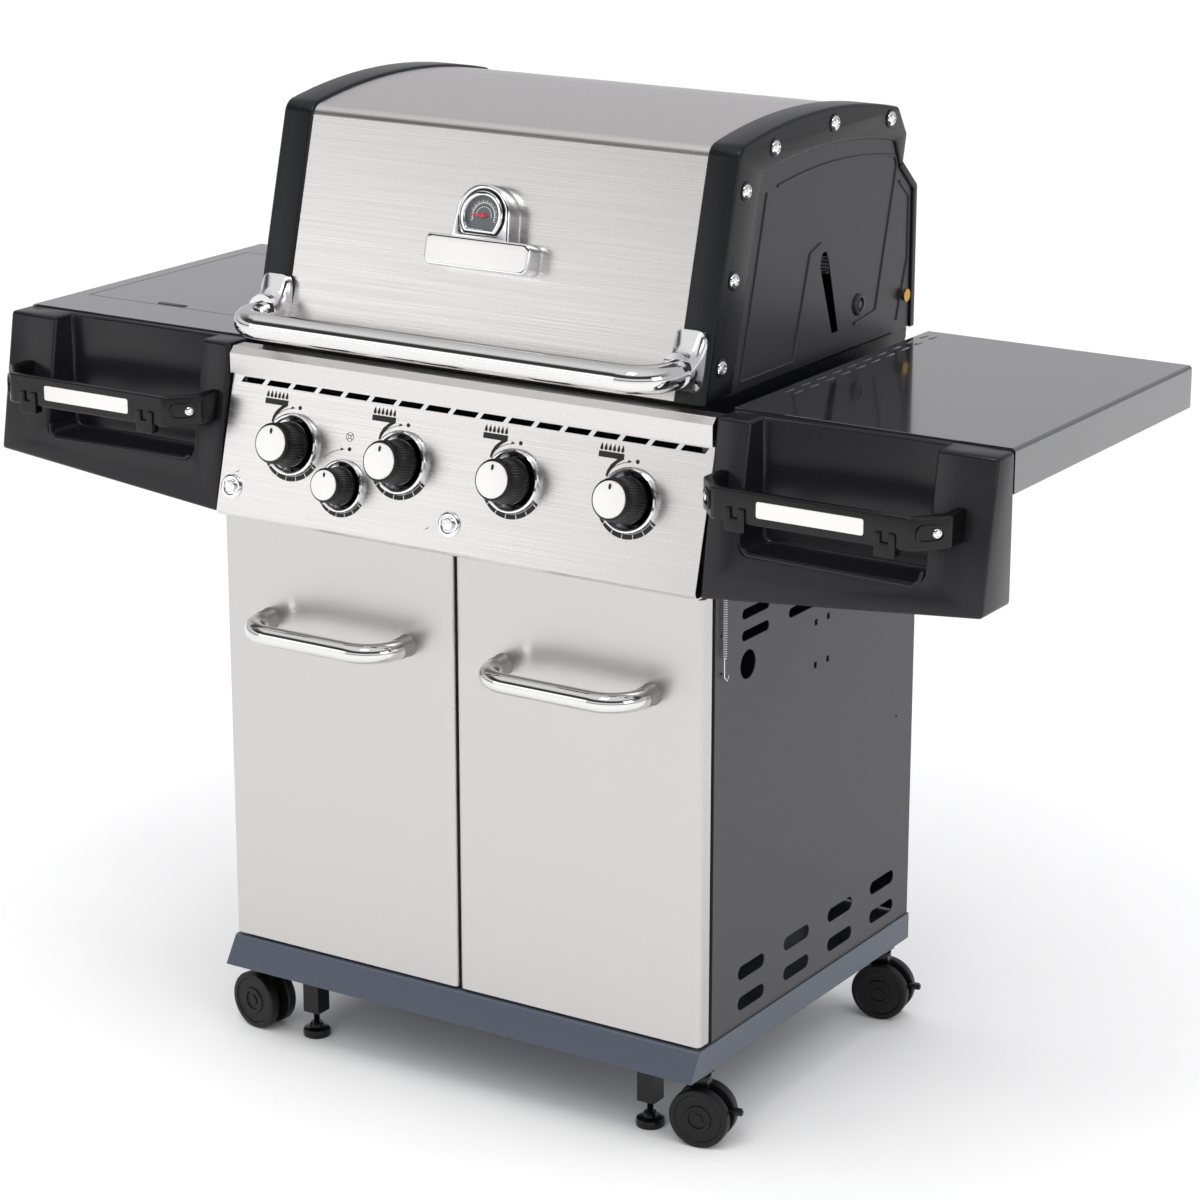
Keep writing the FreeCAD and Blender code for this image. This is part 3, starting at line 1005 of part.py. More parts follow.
def wheel_pair(name):
    """Two wheel discs and the axle that carries them."""
    gap = "hood_wide / 2 + side_play"
    parts = []
    for end, start in (("near", f"-({gap}) - wheel_wide"), ("far", gap)):
        disc = rod(f"disc_{end}_{name}", "wheel_radius", "wheel_wide", ("caster_trail", start, "wheel_radius"), "y")
        rounded = round_edges(f"disc_round_{end}_{name}", disc, "4",
                              lambda e: isinstance(e.Curve, Part.Circle)
                              and abs(e.CenterOfMass.y) > value(gap) + 1)
        hole = rod(f"disc_hole_{end}_{name}", "axle_radius + 0.02", "wheel_wide - 3",
                   ("caster_trail", start if end == "far" else f"{start} + 3", "wheel_radius"), "y")
        parts.append(cut(f"disc_cut_{end}_{name}", rounded, hole))
    reach = f"{gap} + wheel_wide - 3.5"
    parts.append(rod("axle_" + name, "axle_radius", f"2 * ({reach})",
                     ("caster_trail", f"-({reach})", "wheel_radius"), "y"))
    return group("wheel_set_" + name, *parts)


def brake_pedal(name):
    """The pedal that rocks on a pin in the hood's slot."""
    low = "pedal_up - pedal_thick / 2"
    lever = box("lever_" + name, ("pedal_pivot - 4", "-pedal_wide / 2", low),
                ("pedal_reach", "pedal_wide / 2", f"{low} + pedal_thick"))
    rounded = round_edges("lever_round_" + name, lever, "3", lambda e: runs_along(e, "y"))
    bore = rod("lever_bore_" + name, "pedal_pin + pin_play", "pedal_wide + 2",
               ("pedal_pivot", "-pedal_wide / 2 - 1", "pedal_up"), "y")
    return group("pedal_set_" + name, cut("lever_cut_" + name, rounded, bore))


def foot_sockets():
    """Caster sockets under the tray; the front ones carry the levelling feet's threaded posts."""
    ceiling = "tray_top - sheet"
    blocks = []
    for name, side, y_text in CASTERS:
        x_text = f"{side} * stem_side"
        parts = [box("socket_" + name, (f"{x_text} - socket_half", f"{y_text} - socket_half", "socket_low"),
                     (f"{x_text} + socket_half", f"{y_text} + socket_half", ceiling))]
        bores = [rod("socket_bore_" + name, "post_radius + pin_play", "post_top - socket_low + 2",
                     (x_text, y_text, "socket_low - 1"))]
        if "front" in name:
            foot_x = f"{side} * foot_side"
            parts.append(box("foot_post_" + name,
                             (f"{foot_x} - foot_post_half", "foot_back - foot_post_half", "foot_post_low"),
                             (f"{foot_x} + foot_post_half", "foot_back + foot_post_half", ceiling)))
            inner, outer = sorted((foot_x, x_text), key=value)
            parts.append(box("foot_arm_" + name, (inner, "foot_back - 8", "socket_low"),
                             (outer, "foot_back + 8", ceiling)))
            bores.append(rod("foot_bore_" + name, "foot_screw + pin_play",
                             "foot_screw_top - foot_post_low + foot_travel + 3",
                             (foot_x, "foot_back", "foot_post_low - 1")))
        blocks.append(cut("socket_cut_" + name, fuse("socket_set_" + name, *parts), *bores))
    node("foot_sockets", group("sockets_all", *blocks))


def levelling_feet():
    """A screw with a round pad under each front post."""
    for side, sign in (("left", -1), ("right", 1)):
        spot = (f"{sign} * foot_side", "foot_back", "0")
        pad = rod("pad_" + side, "foot_pad", "foot_pad_high", spot)
        rounded = round_edges("pad_round_" + side, pad, "3", lambda e: isinstance(e.Curve, Part.Circle)
                              and e.CenterOfMass.z > value("foot_pad_high") - 0.1)
        hub = rod("pad_hub_" + side, "foot_screw + 4", "6", (spot[0], spot[1], "foot_pad_high"))
        screw = rod("screw_" + side, "foot_screw", "foot_screw_top - foot_pad_high",
                    (spot[0], spot[1], "foot_pad_high"))
        node("foot_" + side, fuse("foot_set_" + side, rounded, hub, screw))


# ---- build, check and write ----------------------------------------------------------------------
def build():
    """Makes every sub-part."""
    for make in (base_tray, side_panel, back_panel, control_panel, top_rail, knobs_and_stems, gas_manifold,
                 igniter_buttons, doors, cookbox, burner_tubes, flame_tamers, cooking_grates, warming_rack,
                 grease_tray, lid_skin, lid_ends, lid_bolts, lid_handle, thermometer, shelves, side_burner,
                 side_burner_lid, end_caps, tool_rails, hinge_pins, foot_sockets, levelling_feet, casters):
        make()
    doc.recompute()


def check():
    """Stops if any object failed to compute or a sub-part's shape isn't valid."""
    bad = [o.Name for o in doc.Objects if {"Invalid", "Error"} & set(o.State)]
    for label, thing in NODES.items():
        shape = thing.Shape
        if shape.isNull() or not shape.isValid() or not shape.Solids:
            bad.append(label)
    if bad:
        raise SystemExit(f"failed: {bad}")


def write():
    """Writes each sub-part as parts/NODE.step."""
    os.makedirs("parts", exist_ok=True)
    for name in os.listdir("parts"):
        if name.endswith(".step"):
            os.remove(os.path.join("parts", name))
    for label, thing in sorted(NODES.items()):
        thing.Shape.exportStep(f"parts/{label}.step")


build()
check()
write()
print(len(NODES), "sub-parts,", sum(len(t.Shape.Solids) for t in NODES.values()), "solids")
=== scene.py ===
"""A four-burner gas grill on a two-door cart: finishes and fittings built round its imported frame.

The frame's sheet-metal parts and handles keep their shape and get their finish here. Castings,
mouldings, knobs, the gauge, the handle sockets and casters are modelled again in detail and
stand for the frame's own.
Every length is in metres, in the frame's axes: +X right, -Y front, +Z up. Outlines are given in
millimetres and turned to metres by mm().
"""
import bmesh
import bpy
import json
import math
from bpy.props import FloatProperty, FloatVectorProperty, IntProperty, PointerProperty
from mathutils import Matrix, Vector


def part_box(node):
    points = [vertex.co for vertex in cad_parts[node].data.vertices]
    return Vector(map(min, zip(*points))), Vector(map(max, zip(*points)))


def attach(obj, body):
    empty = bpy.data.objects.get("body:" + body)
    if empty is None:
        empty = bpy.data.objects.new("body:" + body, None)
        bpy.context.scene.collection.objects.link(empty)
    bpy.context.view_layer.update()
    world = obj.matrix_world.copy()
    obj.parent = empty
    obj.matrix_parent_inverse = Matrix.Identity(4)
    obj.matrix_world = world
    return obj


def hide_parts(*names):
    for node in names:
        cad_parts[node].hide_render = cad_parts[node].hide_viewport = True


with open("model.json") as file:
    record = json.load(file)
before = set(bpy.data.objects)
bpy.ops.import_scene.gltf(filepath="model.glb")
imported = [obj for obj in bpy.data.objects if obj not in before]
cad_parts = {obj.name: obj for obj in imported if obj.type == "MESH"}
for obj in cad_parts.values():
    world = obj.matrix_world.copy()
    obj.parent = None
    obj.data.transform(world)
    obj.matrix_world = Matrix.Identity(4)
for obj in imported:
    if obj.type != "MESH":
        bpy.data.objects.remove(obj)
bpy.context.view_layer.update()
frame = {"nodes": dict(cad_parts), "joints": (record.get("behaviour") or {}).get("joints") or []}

bl_info = {
    "name": "Gas Grill Finishes and Fittings",
    "version": (1, 0, 0),
    "blender": (4, 5, 0),
    "location": "View3D > Sidebar > Grill",
    "description": "Dresses the packed frame of a gas grill and builds its detailed fittings",
    "category": "Object",
}

MM = 0.001
JOINTS = {joint["name"]: joint for joint in frame["joints"]}
SIDES = (("left", -1), ("right", 1))
CORNERS = ("front_left", "front_right", "rear_left", "rear_right")
KNOBS = ("1", "2", "3", "4", "side")


def srgb(code):
    """A colour written as #rrggbb, as linear red, green, blue and alpha."""
    parts = [int(code[i:i + 2], 16) / 255 for i in (1, 3, 5)]
    return tuple(p / 12.92 if p <= 0.04045 else ((p + 0.055) / 1.055) ** 2.4 for p in parts) + (1.0,)


def colour(name, code, description):
    """A colour that a user can change, shown as a swatch."""
    return FloatVectorProperty(name=name, description=description, default=srgb(code), size=4,
                               subtype="COLOR", min=0.0, max=1.0)


def length(name, metres, description):
    """A length that a user can change."""
    return FloatProperty(name=name, description=description, default=metres, min=0.0, unit="LENGTH")


class GrillColours(bpy.types.PropertyGroup):
    """The colours of the grill's finishes."""

    steel: colour("Stainless steel", "#dedbd9", "Brushed sheet of the lid, panel and doors")
    tube: colour("Polished tube", "#e2e1e0", "Handles of the lid and doors")
    chrome: colour("Chrome", "#eeeef0", "Gauge housing, bezels, bolts and sockets")
    brass: colour("Brass", "#c79a4b", "Hinge pins")
    casting: colour("Lid casting", "#121315", "Powder-coated rims of the lid's ends")
    end_face: colour("Lid end face", "#29282c", "Recessed faces of the lid's ends")
    side_coat: colour("Side coat", "#38373c", "Side and back panels of the cabinet")
    tray_coat: colour("Tray coat", "#5d6470", "Base tray under the cabinet")
    enamel: colour("Shelf enamel", "#222327", "Glossy side shelves")
    moulding: colour("Moulded resin", "#171619", "End caps of the shelves")
    nylon: colour("Black nylon", "#0b0b0c", "Knob grips, tool rails and caster hoods")
    wheel: colour("Caster wheel", "#131315", "Caster treads and faces")
    satin: colour("Satin plate", "#e8e7e5", "Plates on the tool rails and knob caps")
    dial: colour("Dial", "#4b4f54", "Face of the thermometer")
    print: colour("Print", "#1a1a1b", "Marks printed on the control panel")
    needle: colour("Needle", "#c8283a", "Needle of the thermometer")


class GrillSizes(bpy.types.PropertyGroup):
    """The sizes of the grill's fittings."""

    casting_round: length("Casting edge", 4 * MM, "Radius of the lid castings' outer edges")
    ridge: length("Ridge", 1.8 * MM, "Radius of the thin ridges on the lid's end faces")
    bolt: length("Bolt radius", 10 * MM, "Radius of the domed bolts on the lid's ends")
    bezel: length("Bezel radius", 39 * MM, "Outer radius of the ring round a burner knob")
    scale_band: length("Scale band", 6.5 * MM, "Width of the printed heat scale round a knob")
    small_share: FloatProperty(name="Side knob share", default=0.84, min=0.5, max=1.0,
                               description="Size of the side burner's knob against the others",
                               subtype="FACTOR")
    ribs: IntProperty(name="Knob ribs", default=44, min=0, description="Ribs round a knob's grip")
    cap_round: length("Moulding edge", 4.5 * MM, "Radius of the end caps' edges")
    plate_long: length("Rail plate", 136 * MM, "Length of the satin plate on a tool rail")


class GrillStage(bpy.types.PropertyGroup):
    """Camera and light."""

    lens: FloatProperty(name="Lens", default=107.22, description="Focal length",
                        subtype="DISTANCE_CAMERA")
    azimuth: FloatProperty(name="Azimuth", default=math.radians(32.53), subtype="ANGLE",
                           description="How far the camera stands round to the grill's right")
    elevation: FloatProperty(name="Elevation", default=math.radians(16.79), subtype="ANGLE",
                             description="How far the camera looks down")
    place: FloatVectorProperty(name="Camera", default=(2.3731, -3.6326, 1.8927), unit="LENGTH",
                               subtype="XYZ", description="Where the camera stands")
    floor: colour("Floor", "#f1f1f1", "Plain pale floor")


# ---- materials --------------------------------------------------------------------------------
def add(tree, kind, inputs=(), **settings):
    """Adds a node. Each input is given a value, or a socket to link from."""
    made = tree.nodes.new(kind)
    for key, setting in settings.items():
        setattr(made, key, setting)
    for key, given in dict(inputs).items():
        if isinstance(given, bpy.types.NodeSocket):
            tree.links.new(given, made.inputs[key])
        else:
            made.inputs[key].default_value = given
    return made


def surface(name, light, dark, rough, grain, relief, sockets):
    """A material whose colour and roughness drift over a grain, with the same grain as relief.

    grain is the grain's real size along X, Y and Z in millimetres, rough the roughness between its
    troughs and crests, and relief its height in millimetres. The sockets are the shader's own.
    """
    material = bpy.data.materials.new("grill_" + name)
    material.use_nodes = True
    tree = material.node_tree
    shader = tree.nodes["Principled BSDF"]
    where = add(tree, "ShaderNodeTexCoord").outputs["Object"]
    spread = add(tree, "ShaderNodeMapping", {"Vector": where, "Scale": [1 / (g * MM) for g in grain]})
    noise = add(tree, "ShaderNodeTexNoise", {"Vector": spread.outputs[0], "Scale": 1.0, "Detail": 3.0})
    height = noise.outputs[0]
    tint = add(tree, "ShaderNodeMix", {0: height, 6: dark, 7: light}, data_type="RGBA")
    drift = add(tree, "ShaderNodeMapRange", {"Value": height, 1: 0.3, 2: 0.7, 3: rough[0], 4: rough[1]})
    bump = add(tree, "ShaderNodeBump", {"Height": height, "Strength": 1.0, "Distance": relief * MM})
    tree.links.new(tint.outputs[2], shader.inputs["Base Color"])
    tree.links.new(drift.outputs[0], shader.inputs["Roughness"])
    tree.links.new(bump.outputs[0], shader.inputs["Normal"])
    for key, given in sockets.items():
        shader.inputs[key].default_value = given
    return material


def shaded(base, share):
    """A colour darkened to a share of itself."""
    return tuple(c * share for c in base[:3]) + (1.0,)


# Each finish: its colour, the shares of it that its crests and troughs show, its roughness from
# trough to crest, its grain's size along X, Y and Z and its relief in millimetres, and the values
# of the shader's other sockets.
FINISHES = {
    # cold-rolled stainless sheet, belt-brushed across: soft reflections smeared up and down; the
    # real brushing is about 0.2 mm apart, too fine to show, so it is drawn four times as coarse
    "brushed_stainless": ("steel", 1, 0.93, (0.25, 0.34), (260, 0.8, 0.8), 0.0025, {"Metallic": 1.0}),
    # the doors' sheet, brushed like the panel's; its colour is darkened as painted shade for a dimmer
    # reflection
    "brushed_door": ("steel", 0.84, 0.78, (0.3, 0.38), (260, 0.8, 0.8), 0.004, {"Metallic": 1.0}),
    # drawn stainless tube, polished: sharp dark and bright bands along it
    "polished_tube": ("tube", 1, 0.95, (0.06, 0.09), (90, 1.5, 1.5), 0.002, {"Metallic": 1.0}),
    # bright chrome over a polished casting: a mirror with a faint swell
    "chrome_plate": ("chrome", 1, 0.97, (0.04, 0.08), (14, 14, 14), 0.02, {"Metallic": 1.0}),
    # satin-anodised aluminium: a pale, even sheen with no clear reflection
    "satin_plate": ("satin", 1, 0.97, (0.34, 0.42), (0.9, 0.9, 0.9), 0.003, {"Metallic": 0.4}),
    # turned brass, a little dulled
    "brass_pin": ("brass", 1, 0.85, (0.2, 0.32), (0.7, 4, 4), 0.004, {"Metallic": 1.0}),
    # cast aluminium under black powder coat: low sheen with a fine orange peel
    "powder_coated_casting": ("casting", 1, 0.8, (0.26, 0.34), (1.6, 1.6, 1.6), 0.03,
                              {"IOR": 1.5, "Specular IOR Level": 0.32}),
    # the same coat on the pressed end face, left duller and greyer
    "charcoal_end_face": ("end_face", 1, 0.86, (0.3, 0.38), (2.2, 2.2, 2.2), 0.03,
                          {"IOR": 1.5, "Specular IOR Level": 0.4}),
    # mild steel sheet under grey powder coat: a broad soft sheen
    "grey_powder_coat": ("side_coat", 1, 0.93, (0.36, 0.44), (1.8, 1.8, 1.8), 0.012, {"IOR": 1.5}),
    # metallic blue-grey powder coat: the flake gives it a brighter sheen than plain paint
    "blue_grey_powder_coat": ("tray_coat", 1, 0.9, (0.27, 0.34), (1.2, 1.2, 1.2), 0.01,
                              {"Metallic": 0.45}),
    # dark glass enamel fired on steel: mirrors what is round it over a near-black ground
    "vitreous_enamel": ("enamel", 1, 0.9, (0.13, 0.18), (18, 18, 18), 0.02,
                        {"IOR": 1.62, "Specular IOR Level": 1.0, "Coat Weight": 1.0,
                         "Coat Roughness": 0.07}),
    # injection-moulded resin with a fine spark-eroded grain, drawn at 0.9 mm so that it shows
    "moulded_resin": ("moulding", 1, 0.82, (0.2, 0.28), (0.9, 0.9, 0.9), 0.012,
                      {"IOR": 1.5, "Specular IOR Level": 0.34}),
    # glass-filled nylon, moulded: darker than the resin, with a little coarser grain
    "black_nylon": ("nylon", 1, 0.8, (0.2, 0.28), (1.1, 1.1, 1.1), 0.012,
                    {"IOR": 1.5, "Specular IOR Level": 0.34}),
    # matt nylon of the casters, dusty on its crests
    "caster_nylon": ("wheel", 1, 0.75, (0.38, 0.5), (3, 3, 3), 0.02,
                     {"IOR": 1.5, "Specular IOR Level": 0.3}),
    # black screen print, flat and slightly broken by the brushing under it
    "printed_ink": ("print", 1, 0.8, (0.45, 0.6), (6, 0.7, 0.7), 0.002, {"IOR": 1.48}),
    # white screen print of scale marks
    "white_ink": ("satin", 1, 0.92, (0.5, 0.6), (0.7, 0.7, 0.7), 0.002, {"IOR": 1.48}),
    # lacquered aluminium dial, dark grey
    "dial_face": ("dial", 1, 0.92, (0.3, 0.4), (2, 2, 2), 0.002,
                  {"IOR": 1.5, "Coat Weight": 0.5, "Coat Roughness": 0.1}),
    # red lacquer on a stamped needle
    "needle_lacquer": ("needle", 1, 0.9, (0.3, 0.4), (2, 2, 2), 0.002, {"IOR": 1.5}),
    # seasoned cast iron: black, coarse and dull
    "cast_iron": ("casting", 0.9, 0.5, (0.5, 0.68), (2.5, 2.5, 2.5), 0.12, {"IOR": 1.6}),
    # bare stainless of the burners and flame plates, dulled by its mill finish
    "burner_steel": ("steel", 0.8, 0.55, (0.34, 0.48), (3, 40, 3), 0.01, {"Metallic": 1.0}),
    # sand-cast aluminium: light grey and grainy
    "cast_aluminium": ("steel", 0.55, 0.4, (0.42, 0.58), (2.2, 2.2, 2.2), 0.06, {"Metallic": 0.9}),
}


def finish(name):
    """A finish's material, made the first time that it is asked for.

    Its prefix keeps it apart from the frame's own materials, some of which have the same names.
    """
    made = bpy.data.materials.get("grill_" + name)
    if made:
        return made
    colour_name, crest, trough, rough, grain, relief, sockets = FINISHES[name]
    base = getattr(bpy.context.scene.grill_colours, colour_name)
    return surface(name, shaded(base, crest), shaded(base, trough), rough, grain, relief, sockets)


# ---- outlines -----------------------------------------------------------------------------------
def mm(*points):
    """Points in millimetres as points in metres, with (across, up, radius) turned to a round corner."""
    sharp = [Vector(p[:2]) * MM for p in points]
    made = []
    for i, point in enumerate(points):
        if len(point) == 2:
            made.append(sharp[i])
            continue
        made += round_corner(sharp[i - 1], sharp[i], sharp[(i + 1) % len(points)], point[2] * MM)
    return made


def round_corner(before, corner, after, radius, steps=7):
    """The arc that rounds one corner, as points."""
    one, two = (before - corner).normalized(), (after - corner).normalized()
    half = one.angle(two) / 2
    centre = corner + (one + two).normalized() * radius / math.sin(half)
    start = (corner + one * radius / math.tan(half) - centre).normalized()
    end = (corner + two * radius / math.tan(half) - centre).normalized()
    return [centre + start.slerp(end, i / steps, start) * radius for i in range(steps + 1)]


def bowed(start, end, radius, steps=14):
    """Points in millimetres between two ends on an arc that bulges up, for use in mm()."""
    (x0, z0), (x1, z1) = start, end
    run = math.hypot(x1 - x0, z1 - z0)
    half = math.asin(run / 2 / radius)
    lean = math.atan2(z1 - z0, x1 - x0)
    sag = radius * math.cos(half)
    middle = ((x0 + x1) / 2 + sag * math.sin(lean), (z0 + z1) / 2 - sag * math.cos(lean))
    turns = [lean + math.pi / 2 + half * (1 - 2 * i / steps) for i in range(1, steps)]
    return [(middle[0] + radius * math.cos(t), middle[1] + radius * math.sin(t)) for t in turns]


def block(low, high, corner=0.0):
    """A rectangle's outline in millimetres between two corners, rounded."""
    (x0, z0), (x1, z1) = low, high
    return mm(*[(*p, corner) if corner else p for p in ((x0, z0), (x1, z0), (x1, z1), (x0, z1))])


def ring(radius, steps=48, start=0.0, end=360.0):
    """Points in metres round a circle, or along a part of it in degrees."""
    whole = end - start >= 360
    count = steps if whole else steps + 1
    turns = [math.radians(start + (end - start) * i / steps) for i in range(count)]
    return [Vector((radius * math.cos(t), radius * math.sin(t))) for t in turns]


def band(inner, outer, start, end, steps=24):
    """The outline of a stretch of a flat ring."""
    return ring(outer, steps, start, end) + ring(inner, steps, start, end)[::-1]


# ---- meshes -------------------------------------------------------------------------------------
def cleaned(mesh, matrix=Matrix()):
    """The mesh with doubles merged and faces turned outwards, put in place."""
    shell = bmesh.new()
    shell.from_mesh(mesh)
    bmesh.ops.remove_doubles(shell, verts=shell.verts, dist=1e-6)
    bmesh.ops.dissolve_degenerate(shell, edges=shell.edges, dist=1e-7)
    bmesh.ops.transform(shell, matrix=matrix, verts=shell.verts)
    bmesh.ops.recalc_face_normals(shell, faces=shell.faces)
    shell.to_mesh(mesh)
    shell.free()
    return mesh


def placed(name, data):
    """A new object in the scene."""
    made = bpy.data.objects.new(name, data)
    bpy.context.scene.collection.objects.link(made)
    return made


def evaluated(holder):
    """The mesh that an object comes to; the object is removed."""
    bpy.context.view_layer.update()
    ready = holder.evaluated_get(bpy.context.evaluated_depsgraph_get())
    mesh = bpy.data.meshes.new_from_object(ready)
    bpy.data.objects.remove(holder)
    return mesh


def meshed(data, matrix):
    """The mesh of a curve, put in place; the curve is removed."""
    mesh = evaluated(placed("holder", data))
    bpy.data.curves.remove(data)
    return cleaned(mesh, matrix)


def drawn(lines, closed):
    """A curve of straight stretches through each line's points: flat if closed, else in space."""
    data = bpy.data.curves.new("line", "CURVE")
    data.dimensions = "2D" if closed else "3D"
    for line in lines:
        spline = data.splines.new("POLY")
        spline.points.add(len(line) - 1)
        for spot, point in zip(spline.points, line):
            spot.co = (*point, *([0.0] * (3 - len(point))), 1.0)
        spline.use_cyclic_u = closed
    return data


def plate(outline, low, high, edge=0.0, holes=(), matrix=Matrix()):
    """A plate of an outline, between two heights in metres, with its edges rounded by edge."""
    data = drawn([outline, *holes], closed=True)
    data.fill_mode = "BOTH"
    data.extrude = (high - low) / 2 - edge
    data.bevel_depth = edge
    data.bevel_resolution = 2
    data.offset = -edge
    return meshed(data, matrix @ Matrix.Translation((0, 0, (low + high) / 2)))


def tube(line, radius, matrix=Matrix()):
    """A round bar along a line of points in metres."""
    data = drawn([line], closed=False)
    data.bevel_depth = radius
    data.bevel_resolution = 6
    data.use_fill_caps = True
    return meshed(data, matrix)


def lathe(profile, matrix=Matrix(), steps=56, ribs=0, rib_deep=0.0):
    """A turned solid of (radius, height) in millimetres, ribbed where there is a third value."""
    rows = []
    for point in profile:
        row = []
        for i in range(steps):
            turn = 2 * math.pi * i / steps
            wave = rib_deep * math.cos(ribs * turn) if len(point) == 3 else 0.0
            radius = point[0] * MM + wave
            row.append((radius * math.cos(turn), radius * math.sin(turn), point[1] * MM))
        rows.append(row)
    return loft(rows, matrix)


def loft(rows, matrix=Matrix()):
    """A solid skinned over closed rows of points in metres, all of one count."""
    shell = bmesh.new()
    made = [[shell.verts.new(p) for p in row] for row in rows]
    for lower, upper in zip(made, made[1:]):
        for i in range(len(lower)):
            shell.faces.new((lower[i - 1], lower[i], upper[i], upper[i - 1]))
    shell.faces.new(made[0][::-1])
    shell.faces.new(made[-1])
    mesh = bpy.data.meshes.new("skinned")
    shell.to_mesh(mesh)
    shell.free()
    return cleaned(mesh, matrix)


def worked(mesh, *steps):
    """The mesh after modifiers, each given as its kind and settings."""
    holder = placed("blank", mesh)
    for kind, settings in steps:
        modifier = holder.modifiers.new(kind, kind)
        for key, given in settings.items():
            setattr(modifier, key, given)
    return evaluated(holder)


def carved(mesh, *cutters):
    """The mesh with other meshes cut out of it."""
    for cutter in cutters:
        tool = placed("cutter", cutter)
        mesh = worked(mesh, ("BOOLEAN", {"operation": "DIFFERENCE", "solver": "EXACT", "object": tool}))
        bpy.data.objects.remove(tool)
    return cleaned(mesh)


def softened(mesh, edge):
    """The mesh with the edges that turn by more than 35 degrees rounded."""
    return worked(mesh, ("BEVEL", {"width": edge, "segments": 3, "limit_method": "ANGLE",
                                   "angle_limit": math.radians(35), "use_clamp_overlap": False,
                                   "harden_normals": False}))


def joined(*meshes):
    """Several meshes as one."""
    shell = bmesh.new()
    for mesh in meshes:
        shell.from_mesh(mesh)
    made = bpy.data.meshes.new("joined")
    shell.to_mesh(made)
    shell.free()
    return made


def turned_to(mesh, side):
    """The mesh as made for the right, or mirrored for the left."""
    made = mesh.copy()
    if side < 0:
        made.transform(Matrix.Diagonal((-1, 1, 1, 1)))
        made.flip_normals()
    return made


def piece(name, mesh, look, body, slot, *stands_for, sharp=38.0):
    """Puts a mesh in the scene with its finish, riding on a body; sharp is in degrees."""
    made = placed(name, mesh)
    mesh.name = name
    mesh.materials.clear()
    mesh.materials.append(finish(look))
    mesh.shade_smooth()
    mesh.set_sharp_from_angle(angle=math.radians(sharp))
    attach(made, body)
    if stands_for:
        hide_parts(*stands_for)


def pair(stem, mesh, look, body, slot, *stands_for):
    """Puts a mesh made for the right on both sides.

    A node name that ends in _ is completed with the side; the right piece stands for any other.
    """
    for name, side in SIDES:
        nodes = [node + name if node.endswith("_") else node
                 for node in stands_for if node.endswith("_") or side > 0]
        piece(stem + name, turned_to(mesh, side), look, body, slot, *nodes)


# ---- frames of reference --------------------------------------------------------------------
def shift(x, y, z):
    """A move in millimetres."""
    return Matrix.Translation((x * MM, y * MM, z * MM))


def spin(degrees):
    """A turn about z."""
    return Matrix.Rotation(math.radians(degrees), 4, "Z")


def axes(origin, across, up):
    """A frame whose x runs across, whose y runs up, and whose z stands out."""
    across = Vector(across).normalized()
    out = across.cross(Vector(up)).normalized()
    return Matrix.Translation(origin) @ Matrix((across, out.cross(across), out)).transposed().to_4x4()


def face_on(joint):
    """A frame on the front of the grill at a joint: x to the right, y up the face, z out of it."""
    out = Vector(JOINTS[joint]["axis"])
    if out.y > 0:
        out = -out
    return axes(JOINTS[joint]["pos_m"], (1, 0, 0), out.cross((1, 0, 0)))


def button_on(name):
    """A frame on the control panel in the middle of a button, as face_on() gives one for a knob."""
    seat = face_on("knob_1_turn")
    low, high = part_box(name + "_button")
    offset = seat.inverted() @ ((low + high) / 2)
    return seat @ Matrix.Translation((offset.x, offset.y, 0))


# Outlines drawn as width and height, which rise towards the front, and as depth and height, which
# rise to the right.
FRONT_ON = Matrix(((1, 0, 0, 0), (0, 0, -1, 0), (0, 1, 0, 0), (0, 0, 0, 1)))
SIDE_ON = Matrix(((0, 0, 1, 0), (1, 0, 0, 0), (0, 1, 0, 0), (0, 0, 0, 1)))


def caster_frame(corner):
    """A frame on the floor under a caster's post: x along its trail and z up."""
    post = Vector(JOINTS[corner + "_swivel"]["pos_m"])
    hub = Vector(JOINTS[corner + "_roll"]["pos_m"])
    trail = Vector((hub.x - post.x, hub.y - post.y, 0)).normalized()
    return axes((post.x, post.y, 0), trail, Vector((0, 0, 1)).cross(trail))


# ---- operators --------------------------------------------------------------------------------
class Maker:
    """What every operator here shares."""

    bl_options = {"REGISTER", "UNDO"}


class GRILL_OT_frame_finishes(Maker, bpy.types.Operator):
    """Gives the sheet-metal and inner parts of the frame their finishes"""

    bl_idname = "grill.frame_finishes"
    bl_label = "Frame Finishes"

    finishes = {
        "brushed_stainless": ("lid_skin", "control_panel", "top_rail"),
        # the doors get the steel's colour darkened as painted shade
        "brushed_door": ("door_left", "door_right"),
        "polished_tube": ("lid_handle_bar", "door_handle_left", "door_handle_right", "warming_rack"),
        "grey_powder_coat": ("side_panel_left", "side_panel_right", "back_panel"),
        "blue_grey_powder_coat": ("base_tray",),
        "vitreous_enamel": ("shelf_left", "shelf_right", "side_burner_lid"),
        "cast_iron": ("cooking_grates", "side_burner"),
        "burner_steel": ("burner_tubes", "flame_tamers", "grease_tray", "gas_manifold", "valve_stem_1",
                       "valve_stem_2", "valve_stem_3", "valve_stem_4", "valve_stem_side"),
        "powder_coated_casting": ("cookbox",),
        "brass_pin": ("hinge_pins",),
        "black_nylon": ("foot_sockets",),
    }

    def execute(self, context):
        for look, names in self.finishes.items():
            for name in names:
                thing = frame["nodes"][name]
                if not thing.material_slots:
                    thing.data.materials.append(finish(look))
                for slot in thing.material_slots:
                    slot.material = finish(look)
        return {"FINISHED"}


